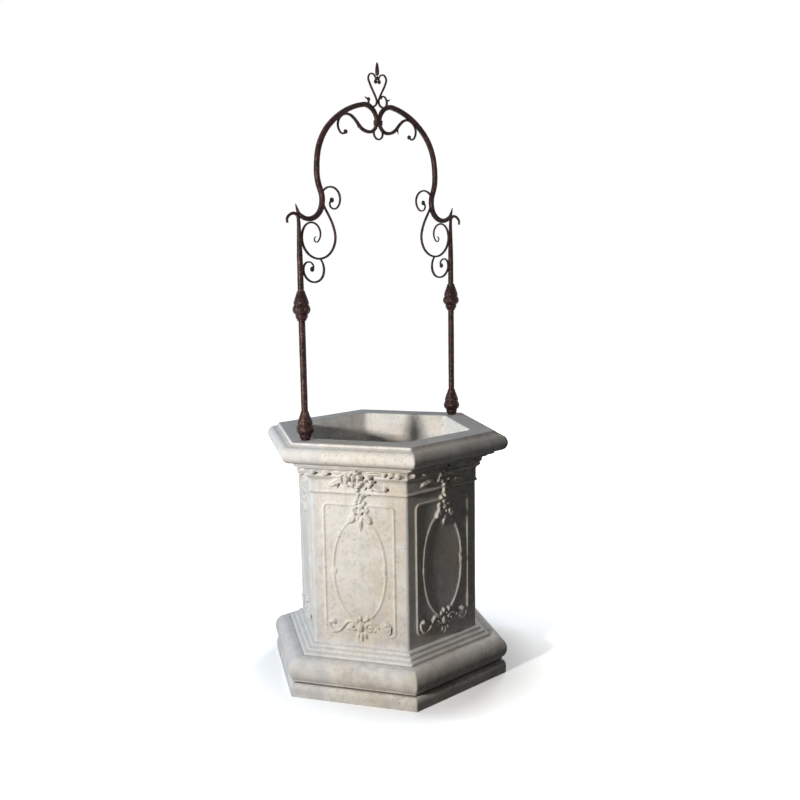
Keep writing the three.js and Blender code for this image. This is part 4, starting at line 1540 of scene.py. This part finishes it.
ARCH = Course((1.03, 0.113), -106, (
    (-8, 0.6), (-30, 0.05), (-10, 0.2), (-96, 0.163), (-45, 0.21), (25, 0.39),
    (10, 0.85), (35, 0.51), (35, 0.8), (70, 0.15), (35, 0.14),
))
CROWN_ARCS = ((85, 0.1), (50, 0.18), (-15, 0.34), (-95, 0.12), (-80, 0.09), (-100, 0.04))
SIDE = Course((0.563, 0.159), -20, (
    (-125, 0.04), (-75, 0.06), (-105, 0.105), (-100, 0.12), (-50, 0.07), (-10, 0.87),
    (20, 0.48), (185, 0.2), (45, 0.165), (125, 0.105), (70, 0.095), (210, 0.025),
))
LOWER_HEADING = -135
LOWER_ARCS = ((65, 0.14), (45, 0.1), (95, 0.13), (45, 0.09), (50, 0.06), (80, 0.06), (95, 0.025))
HOOK = Course((1, -0.087), 90, ((-5, 0.8), (-85, 0.05), (-50, 0.09), (-45, 0.045), (-15, 0.08)))
HEART = Course((0.023, 1.28), 115, (
    (-35, 0.04), (-25, 0.065), (-170, 0.047), (-10, 0.61), (10, 0.48), (110, 0.05),
))
# The left leaf scroll ends in a ball, and the right one curls over
LEAVES = {
    "left": Course((0.107, 1.043), 70, ((10, 0.25), (28, 0.05))),
    "right": Course((0.107, 1.043), 70, ((10, 0.25), (65, 0.06), (80, 0.04))),
}
LOOP = Course((0.05, 0.842), -70, ((-20, 0.12),))
# Tapers: the share of the way along, and the share of the full section there
ARCH_TAPER = ((0, 0.16), (0.03, 0.5), (0.06, 0.8), (0.13, 1), (0.88, 1), (1, 0.75))
CROWN_TAPER = ((0, 1), (0.3, 1), (0.5, 0.8), (0.75, 0.65), (1, 0.5))
SIDE_TAPER = ((0, 0.7), (0.15, 0.9), (0.4, 1), (0.75, 1), (0.9, 0.8), (1, 0.5))
LOWER_TAPER = ((0, 0.75), (0.2, 1), (0.7, 0.95), (1, 0.65))
HEART_TAPER = ((0, 0.8), (0.5, 1), (1, 1))
LEAF_TAPER = ((0, 1.2), (0.5, 1), (1, 0.8))
SPUR_TAPER = ((0, 0.8), (0.3, 1), (1, 0.1))
POST_TAPER = ((0, 1), (0.65, 0.9), (1, 0.6))
FULL = ((0, 1), (1, 1))
# The spear from its foot up: radius and height over the foot
SPEAR_ROWS = (
    (0.6, -2.4), (3.4, -1.6), (4.9, 0.2), (5.4, 2.6), (5.0, 5.0), (3.6, 7.0), (2.4, 8.6), (2.1, 11.0),
    (2.7, 12.8), (5.2, 13.8), (6.4, 15.2), (6.8, 18.0), (6.9, 27.0), (6.4, 35.0), (5.4, 42.0),
    (4.1, 48.0), (2.7, 52.0), (1.3, 54.2), (0.4, 55.1),
)
# The collar from its foot up: how far inside its outer face, and height as a share of half of its own
COLLAR_ROWS = (
    (2.4, -1.0), (0.7, -1.0), (0.0, -0.8), (0.0, -0.5), (0.7, -0.3), (0.8, 0.3), (0.0, 0.5), (0.0, 0.8),
    (0.7, 1.0), (2.4, 1.0),
)


@dataclass
class Run:
    """A line that a bar follows, in the plane of the ironwork."""

    points: list[Pair]

    @classmethod
    def of_arcs(
        cls, start: Pair, heading: float, arcs: tuple, span: float, longest_turn: float = FINE_TURN
    ) -> "Run":
        """Follows arcs, each carrying on from the last.

        Args:
            start: where it starts.
            heading: the direction it starts in, in degrees.
            arcs: (turn in degrees, radius as a share of the half span); a negative turn is clockwise.
            span: the half span in millimetres.
            longest_turn: the most degrees that one edge turns.

        Returns:
            The run.
        """
        points = [start]
        direction = math.radians(heading)
        for turn, share in arcs:
            radius = share * span
            longest = longest_turn
            if longest_turn < COARSE_TURN:
                longest = max(longest_turn, math.degrees(SHORTEST_EDGE / radius))
            steps = max(2, math.ceil(abs(turn) / longest))
            bend = math.radians(turn) / steps
            chord = 2 * radius * math.sin(abs(bend) / 2)
            for _ in range(steps):
                x, z = points[-1]
                along = direction + bend / 2
                points.append((x + chord * math.cos(along), z + chord * math.sin(along)))
                direction += bend
        return cls(points)

    def moved(self, x: float, z: float) -> "Run":
        """Moves the run."""
        return Run([(px + x, pz + z) for px, pz in self.points])

    def mirrored(self, side: int) -> "Run":
        """Turns the right-hand run into the left-hand one where the side is -1."""
        return Run([(side * x, z) for x, z in self.points])

    def shares(self) -> list[float]:
        """Gives each point's share of the way along."""
        lengths = [0.0]
        for before, after in zip(self.points, self.points[1:]):
            lengths.append(lengths[-1] + math.dist(before, after))
        return [length / lengths[-1] for length in lengths]

    def mesh(self, name: str, girths: list[float]) -> bpy.types.Mesh:
        """Makes the run a mesh of edges, with the bar's girth on each point.

        Args:
            name: the mesh's name.
            girths: the share of the full section at each point.

        Returns:
            The mesh, in metres.
        """
        mesh = bpy.data.meshes.new(name)
        places = [(x * MM, 0.0, z * MM) for x, z in self.points]
        mesh.from_pydata(places, [(i, i + 1) for i in range(len(places) - 1)], [])
        carried = mesh.attributes.new("girth", "FLOAT", "POINT")
        carried.data.foreach_set("value", np.array(girths, dtype=np.float32))
        return mesh


def taper_at(taper: tuple, share: float) -> float:
    """Reads a (share along, share of size) table."""
    return float(np.interp(share, [place for place, _ in taper], [size for _, size in taper]))


@dataclass
class Bar:
    """The section of a forged bar, and the ball at its end."""

    width: float
    depth: float
    taper: tuple = FULL
    corner: float = 0.3
    eye: float = 0.0
    eye_at_start: bool = False
    hammering: float = 0.9

    @classmethod
    def round(cls, radius: float, taper: tuple, hammering: float) -> "Bar":
        """Gives the section of a round bar."""
        return cls(2 * radius, 2 * radius, taper, 0.5, hammering=hammering)


@dataclass
class Overthrow:
    """The wrought-iron arch that stands on two opposite corners of the coping."""

    shop: Workshop
    sizes: StoneSizes
    half_span: float = HALF_SPAN
    lower_radius: float = 11.0
    upper_radius: float = 10.5
    hook_tip: float = 4.0
    mid_knuckle_z: float = 1296.2
    spring_z: float = 1585.2
    gap: float = 0.3
    lower_steps: int = 44
    upper_steps: int = 26
    arch: Bar = field(default_factory=lambda: Bar(16.5, 18.0, ARCH_TAPER, 0.36))
    crown: Bar = field(default_factory=lambda: Bar(11.0, 12.5, CROWN_TAPER, 0.36, 7.5))
    side: Bar = field(default_factory=lambda: Bar(6.5, 9.0, SIDE_TAPER, 0.38, 8.5, True))
    lower: Bar = field(default_factory=lambda: Bar(6.5, 9.0, LOWER_TAPER, 0.38, 8.5))
    heart: Bar = field(default_factory=lambda: Bar(5.5, 8.0, HEART_TAPER, 0.4, 7.3, True))
    leaf: Bar = field(default_factory=lambda: Bar(5.5, 8.0, LEAF_TAPER, 0.4, 6.8))
    ring: Bar = field(default_factory=lambda: Bar(5.5, 8.0, FULL, 0.4))
    spur: Bar = field(default_factory=lambda: Bar(7.0, 7.0, SPUR_TAPER, 0.4))
    spur_bend: float = 28.0
    leaf_spur_share: float = 0.3
    leaf_spur_heading: float = 22.0
    leaf_spur_length: float = 20.0
    crown_spur_reach: float = 88.0
    crown_spur_heading: float = -78.0
    crown_spur_lengths: Pair = (14.0, 24.0)
    collar_bend: float = 5.0
    collar_wear: Pair = (0.8, 60.0)

    def follow(self, course: Course, longest_turn: float = FINE_TURN) -> Run:
        """Gives the run of a course, in millimetres."""
        start = (self.half_span * course.start[0], self.spring_z + self.half_span * course.start[1])
        return Run.of_arcs(start, course.heading, course.arcs, self.half_span, longest_turn)

    def upper_post_radius(self, height: float) -> float:
        """Gives the radius of the straight upper post at a height."""
        hook_z = self.spring_z + self.half_span * HOOK.start[1]
        share = min((height - self.mid_knuckle_z) / (hook_z - self.mid_knuckle_z), 1.0)
        return self.upper_radius * taper_at(POST_TAPER, share)

    def crown_run(self) -> Run:
        """Gives the crown scroll's line, which carries on from the arch bar."""
        heading = ARCH.heading + sum(turn for turn, _ in ARCH.arcs)
        x, z = self.follow(ARCH).points[-1]
        angle = math.radians(heading)
        start = (x + self.gap * math.cos(angle), z + self.gap * math.sin(angle))
        return Run.of_arcs(start, heading, CROWN_ARCS, self.half_span)

    def side_run(self, longest_turn: float = FINE_TURN) -> Run:
        """Gives the side scroll's line: its belly leans on the post, its inner curl hangs under the arch."""
        rough = self.follow(SIDE, COARSE_TURN).points
        belly = max(rough, key=lambda point: point[0])
        curl = max(rough[rough.index(belly):], key=lambda point: point[1])
        dip = min(self.follow(ARCH, COARSE_TURN).points, key=lambda point: point[1])
        room = self.side.width / 2 + self.gap
        x = self.half_span - self.upper_post_radius(belly[1]) - room - belly[0]
        z = dip[1] - self.arch.width / 2 - room - curl[1]
        return self.follow(SIDE, longest_turn).moved(x, z)

    def lower_run(self) -> Run:
        """Gives the lower scroll's line, from the side scroll's belly down against the post."""
        here = (0.0, 0.0)
        rough = Run.of_arcs(here, LOWER_HEADING, LOWER_ARCS, self.half_span, COARSE_TURN).points
        reach = max(x for x, _ in rough)
        belly = self.side_run(COARSE_TURN).points
        lowest = min(belly, key=lambda point: point[1])
        start = self.half_span - self.upper_post_radius(lowest[1]) - self.side.width / 2 - self.gap - reach
        over = min(belly, key=lambda point: abs(point[0] - start) + point[1])
        return Run.of_arcs(here, LOWER_HEADING, LOWER_ARCS, self.half_span).moved(start, over[1])

    def forge(self, name: str, run: Run, bar: Bar, node: str, finish: Finish = Finish.FORGED) -> None:
        """Forges one bar as a piece.

        Args:
            name: the piece's name.
            run: the line it follows.
            bar: its section and taper.
            node: the CAD node that it stands for.
            finish: its finish.
        """
        girths = [taper_at(bar.taper, share) for share in run.shares()]
        x, z = run.points[0 if bar.eye_at_start else -1]
        values = {
            "Width": bar.width * MM,
            "Depth": bar.depth * MM,
            "Corner": bar.corner * min(bar.width, bar.depth) * MM,
            "Eye": bar.eye * MM,
            "Eye Place": (x * MM, 0.0, z * MM),
            "Eye Shape": (1.0, bar.depth / (2 * bar.eye) if bar.eye else 1.0, 1.0),
            "Hammering": bar.hammering * MM,
        }
        self.shop.hand_over(self.shop.bars, run.mesh(f"{name}_run", girths), name, values, finish, node)

    def post_line(self, low: float, high: float, steps: int) -> list[Pair]:
        """Gives the places along a straight post, from its foot to its top."""
        return [(self.half_span, low + (high - low) * step / steps) for step in range(steps + 1)]

    def build_posts(self, word: str, side: int) -> None:
        """Makes one post in its two lengths.

        Args:
            word: "left" or "right".
            side: -1 or 1.
        """
        straight = Run(self.post_line(self.sizes.rim_top, self.mid_knuckle_z, self.lower_steps))
        lower = Bar.round(self.lower_radius, FULL, 1.0)
        self.forge(f"{word}_lower_bar", straight.mirrored(side), lower, f"{word}_lower_post")
        hook = self.follow(HOOK)
        top = hook.points[0][1]
        line = self.post_line(self.mid_knuckle_z + self.gap, top, self.upper_steps)[:-1]
        radii = [self.upper_post_radius(z) for _, z in line]
        first = self.upper_post_radius(top)
        radii += [first + (self.hook_tip - first) * share for share in hook.shares()]
        whole = Run(line + hook.points)
        taper = tuple(zip(whole.shares(), [radius / self.upper_radius for radius in radii]))
        upper = Bar.round(self.upper_radius, taper, 0.8)
        self.forge(f"{word}_upper_bar", whole.mirrored(side), upper, f"{word}_upper_post")

    def build_side(self, word: str, side: int) -> None:
        """Makes all the bars of one half.

        Args:
            word: "left" or "right".
            side: -1 or 1.
        """
        self.build_posts(word, side)
        crown = self.crown_run()
        for part, run, bar, node in (
            ("arch", self.follow(ARCH), self.arch, "arch_bar"),
            ("crown", crown, self.crown, "crown_scroll"),
            ("side", self.side_run(), self.side, "side_scroll"),
            ("lower", self.lower_run(), self.lower, "lower_scroll"),
            ("heart", self.follow(HEART), self.heart, "heart_half"),
            ("leaf_scroll", self.follow(LEAVES[word]), self.leaf, "crown_leaf"),
        ):
            self.forge(f"{word}_{part}", run.mirrored(side), bar, f"{word}_{node}")
        leaf = self.follow(LEAVES["right"]).points
        root, heading = leaf[round(len(leaf) * self.leaf_spur_share)], self.leaf_spur_heading
        self.build_spur(f"{word}_leaf_spur", side, root, heading, self.leaf_spur_length, f"{word}_crown_leaf")
        root = min(crown.points, key=lambda point: abs(point[0] - self.crown_spur_reach))
        heading, length = self.crown_spur_heading, self.crown_spur_lengths[side > 0]
        self.build_spur(f"{word}_crown_spur", side, root, heading, length, f"{word}_crown_scroll")

    def build_spur(self, name: str, side: int, root: Pair, heading: float, length: float, node: str) -> None:
        """Makes a little pointed leaf that stands off a scroll.

        Args:
            name: the piece's name.
            side: -1 or 1.
            root: where it starts on the right-hand half.
            heading: the direction it points in, in degrees.
            length: its length.
            node: the CAD node that it belongs to.
        """
        arcs = ((self.spur_bend, 2 * length / self.half_span),)
        bend = Run.of_arcs(root, heading - self.spur_bend / 2, arcs, self.half_span)
        self.forge(name, bend.mirrored(side), self.spur, node)

    def build_spear(self) -> None:
        """Makes the spear over its ball, between the lobes of the heart."""
        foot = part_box("spear_finial")[0][2] / MM
        line = Run([(0.0, foot + height) for _, height in SPEAR_ROWS])
        widest = max(radius for radius, _ in SPEAR_ROWS)
        taper = tuple(zip(line.shares(), [radius / widest for radius, _ in SPEAR_ROWS]))
        self.forge("spear_casting", line, Bar.round(widest, taper, 0.5), "spear_finial", Finish.CAST)

    def build_collar(self) -> None:
        """Makes the band round the two arch bars, with its edges rolled."""
        low, high = (np.array(corner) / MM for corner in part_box("crown_collar"))
        (half_x, half_y, half_z), middle = (high - low) / 2, (high[2] + low[2]) / 2
        flat_x, flat_y = half_x - self.collar_bend, half_y - self.collar_bend
        rows = []
        for inward, share in COLLAR_ROWS:
            bend, z = self.collar_bend - inward, middle + half_z * share
            loop = []
            for side_x, side_y, start in ((1, 1, 0), (-1, 1, 90), (-1, -1, 180), (1, -1, 270)):
                corner = bow((side_x * flat_x, side_y * flat_y), (bend, bend), start, start + 90, 6)
                loop += [(x, y, z) for x, y in corner]
            rows.append(loop)
        mesh = grid_mesh("collar_start", np.array(rows), True)
        self.shop.cast(mesh, "collar_band", self.collar_wear, Finish.FORGED, "crown_collar")

    def build_loop(self) -> None:
        """Makes the loop that hangs between the crown scrolls."""
        shoulder = self.follow(LOOP).points
        widest = shoulder[-1]
        belly = Run.of_arcs(widest, -90, ((-90, widest[0] / self.half_span),), self.half_span).points
        half = shoulder + belly[1:]
        whole = half + [(-x, z) for x, z in reversed(half[:-1])]
        self.forge("hanging_ring", Run(whole), self.ring, "hanging_loop")

    def build(self) -> None:
        """Makes the whole arch."""
        for word, side in SIDE_WORDS.items():
            self.build_side(word, side)
        self.build_loop()
        self.build_spear()
        self.build_collar()


@dataclass
class Knuckle:
    """A cast knuckle of leaves and lobes round a post."""

    shop: Workshop
    half_span: float = HALF_SPAN
    radius: float = 29.0
    height: float = 95.0
    petals: int = 8
    columns: int = 128
    rows: int = 70
    bore: float = 11.2
    cleft_power: float = 1.4
    cleft_depth: float = 0.3
    rib_width: float = 0.02
    rib_height: float = 0.2
    radius_per_height: float = 0.3
    grime_reach: float = 3.0
    cleft_grime: float = 1.4
    wear: Pair = (0.7, 60.0)

    def outline(self) -> list[np.ndarray]:
        """Gives the outline's radius, height, cleft, rib and scallop, evenly spaced."""
        columns = np.array(KNUCKLE_ROWS).T
        steps = np.hypot(np.diff(columns[0]) * self.radius_per_height, np.diff(columns[1]))
        travelled = np.concatenate([[0], np.cumsum(steps)])
        places = np.linspace(0, travelled[-1], self.rows)
        return [np.interp(places, travelled, column) for column in columns]

    def build(self, name: str, side: int, node: str) -> None:
        """Makes one knuckle.

        Args:
            name: the piece's name.
            side: -1 or 1.
            node: the CAD node that it stands for.
        """
        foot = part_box(node)[0][2] / MM
        radius, height, deep, rib, scallop = (column[:, None] for column in self.outline())
        angle = np.arange(self.columns) * math.tau / self.columns
        petal = np.abs(np.cos(angle * self.petals / 2))
        middle = np.exp(-((1 - petal) / self.rib_width) ** 2)
        cleft = (1 - petal) ** self.cleft_power
        r = self.radius * radius * (1 - self.cleft_depth * deep * cleft + self.rib_height * rib * middle)
        z = foot + self.height * (height + scallop * (0.5 - cleft))
        z = np.clip(z, foot, foot + self.height)
        x = side * self.half_span + r * np.cos(angle)
        rings = [np.stack([x, r * np.sin(angle), z], axis=-1)]
        for level in (foot + self.height, foot):
            ring_x = side * self.half_span + self.bore * np.cos(angle)
            ring = np.stack([ring_x, self.bore * np.sin(angle), np.full_like(angle, level)], axis=-1)
            rings.append(ring[None])
        line = np.hstack([self.radius * radius, self.height * height]).tolist()
        pinch = corner_depth(line, self.grime_reach)[:, None]
        hollow = np.clip(pinch + deep * cleft * self.cleft_grime, 0, 1)
        hollow = np.concatenate([hollow, np.zeros((2, self.columns))])
        mesh = grid_mesh(f"{name}_start", np.concatenate(rings), True, hollow)
        self.shop.cast(mesh, name, self.wear, Finish.CAST, node)


# A knuckle from its foot up: radius and height as shares, then depth of the clefts, midrib, scallop
KNUCKLE_ROWS = (
    (0.48, 0.0, 0, 0, 0),
    (0.52, 0.015, 0, 0, 0),
    (0.53, 0.035, 0, 0, 0),
    (0.51, 0.045, 0, 0, 0),
    (0.60, 0.07, 0.10, 0.03, 0),
    (0.66, 0.11, 0.17, 0.04, 0),
    (0.69, 0.15, 0.18, 0.04, 0),
    (0.68, 0.19, 0.10, 0.02, 0),
    (0.67, 0.21, 0.03, 0, 0),
    (0.79, 0.235, 0.08, 0.02, 0),
    (0.93, 0.285, 0.14, 0.03, 0),
    (1.0, 0.36, 0.17, 0.04, 0),
    (0.98, 0.43, 0.16, 0.03, 0),
    (0.90, 0.49, 0.11, 0.02, 0),
    (0.82, 0.53, 0.05, 0, 0),
    (0.80, 0.55, 0, 0, 0),
    (0.86, 0.565, 0.13, 0.04, -0.012),
    (0.86, 0.60, 0.19, 0.06, -0.012),
    (0.81, 0.66, 0.18, 0.07, 0),
    (0.74, 0.72, 0.15, 0.07, 0),
    (0.665, 0.79, 0.11, 0.06, 0),
    (0.58, 0.86, 0.06, 0.03, 0),
    (0.51, 0.92, 0, 0, 0),
    (0.475, 0.96, 0, 0, 0),
    (0.45, 1.0, 0, 0, 0),
)


# Studio


@dataclass(frozen=True)
class Lamp:
    """A square soft lamp that looks at the object.

    It stands at an azimuth and a height in degrees, seen from the object, and some metres away. Its level is
    how bright it makes a white surface that faces it, and its size is in metres.
    """

    name: str
    azimuth: float
    height: float
    away: float
    level: float
    size: float
    colour: Colour
    glossy: bool = False

    def add(self, target: Triple) -> None:
        """Adds the lamp to the scene.

        Args:
            target: the place that it looks at.
        """
        azimuth, height = math.radians(self.azimuth), math.radians(self.height)
        flat = math.cos(height)
        aim = Vector((math.cos(azimuth) * flat, math.sin(azimuth) * flat, math.sin(height)))
        light = bpy.data.lights.new(self.name, "AREA")
        light.energy = self.level * (math.pi * self.away) ** 2
        light.size, light.color = self.size, self.colour
        lamp = add_object(self.name, light)
        lamp.location = Vector(target) + aim * self.away
        lamp.rotation_euler = aim.to_track_quat("Z", "Y").to_euler()
        lamp.visible_glossy = self.glossy


# The key comes from the photograph's left, and only it leaves a highlight
LAMPS = (
    Lamp("key", 188.7, 9.5, 3.2, 0.99, 0.22, (1.0, 0.975, 0.94), glossy=True),
    Lamp("cool_fill", 120.0, 17.0, 5.0, 0.4, 1.6, (0.5, 0.74, 1.0)),
    Lamp("far_fill", 20.0, 6.0, 5.0, 0.72, 2.0, (0.96, 0.98, 1.0)),
)


@dataclass
class Studio:
    """A white floor that keeps the shadow, a white world, the lamps and the camera."""

    floor_half: float = 9.0
    white_reach: Pair = (0.5, 1.3)
    near_glow: float = 0.56
    # A ring round the base where the floor glows less: a painted contact shadow
    contact_shadow_reach: Pair = (0.40, 0.62)
    contact_shadow_glow: float = 0.2
    seen_grey: float = 0.08
    lit_grey: float = 0.95
    world_level: float = 0.045
    sky: Colour = (0.86, 0.93, 1.0)
    target: Triple = (0.0, 0.0, 0.9)
    camera_place: Triple = (-2.267, -2.511, 1.467)
    camera_turn: Triple = (-42.88, 9.71, -0.89)
    lens: float = 43.93
    sensor: float = 36.0
    sight: float = 100.0
    shift: Pair = (0.0039, 0.0249)

    def build_floor(self) -> None:
        """Makes the floor: white where it is seen, apart from the shadow and a ring of painted shadow round
        the base, and pale grey to the light.
        """
        half = self.floor_half
        mesh = bpy.data.meshes.new("floor")
        corners = [(-half, -half, 0), (half, -half, 0), (half, half, 0), (-half, half, 0)]
        mesh.from_pydata(corners, [], [(0, 1, 2, 3)])
        recipe = ShaderRecipe("studio_floor")
        seen = recipe.seen()
        reach = recipe.vector("LENGTH", recipe.place, out="Value")
        glow = recipe.mix(reach.between(*self.white_reach), (self.near_glow,) * 3, (1.0, 1.0, 1.0))
        # Painted contact shadow round the base
        glow = recipe.mix(reach.between(*self.contact_shadow_reach), (self.contact_shadow_glow,) * 3, glow)
        recipe.feed("Base Color", recipe.mix(seen, (self.seen_grey,) * 3, (self.lit_grey,) * 3))
        recipe.feed("Emission Color", recipe.mix(seen, (0.0, 0.0, 0.0), glow))
        recipe.feed("Emission Strength", 1.0)
        recipe.feed("Roughness", 0.95)
        recipe.feed("Specular IOR Level", 0.0)
        mesh.materials.append(recipe.material)
        add_object("studio_floor", mesh)

    def build_world(self) -> None:
        """Makes the world: white to the camera, and a low level of light on the object."""
        world = bpy.data.worlds.new("studio")
        world.use_nodes = True
        tree = ShaderTree(world.node_tree)
        back = world.node_tree.nodes["Background"]
        tree.fill(back.inputs["Strength"], self.world_level + (1 - self.world_level) * tree.seen())
        tree.fill(back.inputs["Color"], tree.mix(tree.seen(), self.sky, (1.0, 1.0, 1.0)))
        bpy.context.scene.world = world

    def build_camera(self) -> None:
        """Makes the camera at the photograph's place."""
        azimuth, pitch, roll = (math.radians(angle) for angle in self.camera_turn)
        flat = math.cos(pitch)
        look = Vector((-math.sin(azimuth) * flat, math.cos(azimuth) * flat, -math.sin(pitch)))
        right = look.cross(Vector((0, 0, 1))).normalized()
        up = right.cross(look)
        turned_right = right * math.cos(roll) + up * math.sin(roll)
        turned_up = up * math.cos(roll) - right * math.sin(roll)
        lens = bpy.data.cameras.new("camera")
        lens.lens, lens.sensor_width = self.lens, self.sensor
        lens.shift_x, lens.shift_y = self.shift
        lens.clip_end = self.sight
        camera = add_object("camera", lens)
        turn = Matrix((turned_right, turned_up, -look)).transposed().to_4x4()
        camera.matrix_world = Matrix.Translation(self.camera_place) @ turn
        bpy.context.scene.camera = camera

    def build(self) -> None:
        """Makes the whole studio."""
        bpy.context.scene.view_settings.view_transform = "Standard"
        self.build_camera()
        self.build_floor()
        self.build_world()
        for lamp in LAMPS:
            lamp.add(self.target)


def main() -> None:
    """Builds the object and its studio."""
    logging.basicConfig(level=logging.INFO, format="%(name)s %(message)s")
    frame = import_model()
    LOG.info("frame has %d nodes", len(frame["nodes"]))
    Studio().build()
    shop = Workshop()
    sizes = StoneSizes()
    BasePlinth(shop, sizes).build()
    WellBody(shop, sizes).build()
    CopingRing(shop, sizes).build()
    Overthrow(shop, sizes).build()
    knuckle = Knuckle(shop)
    for word, side in SIDE_WORDS.items():
        for place in ("foot", "mid"):
            knuckle.build(f"{word}_{place}_casting", side, f"{word}_{place}_knuckle")


if __name__ == "__main__":
    main()
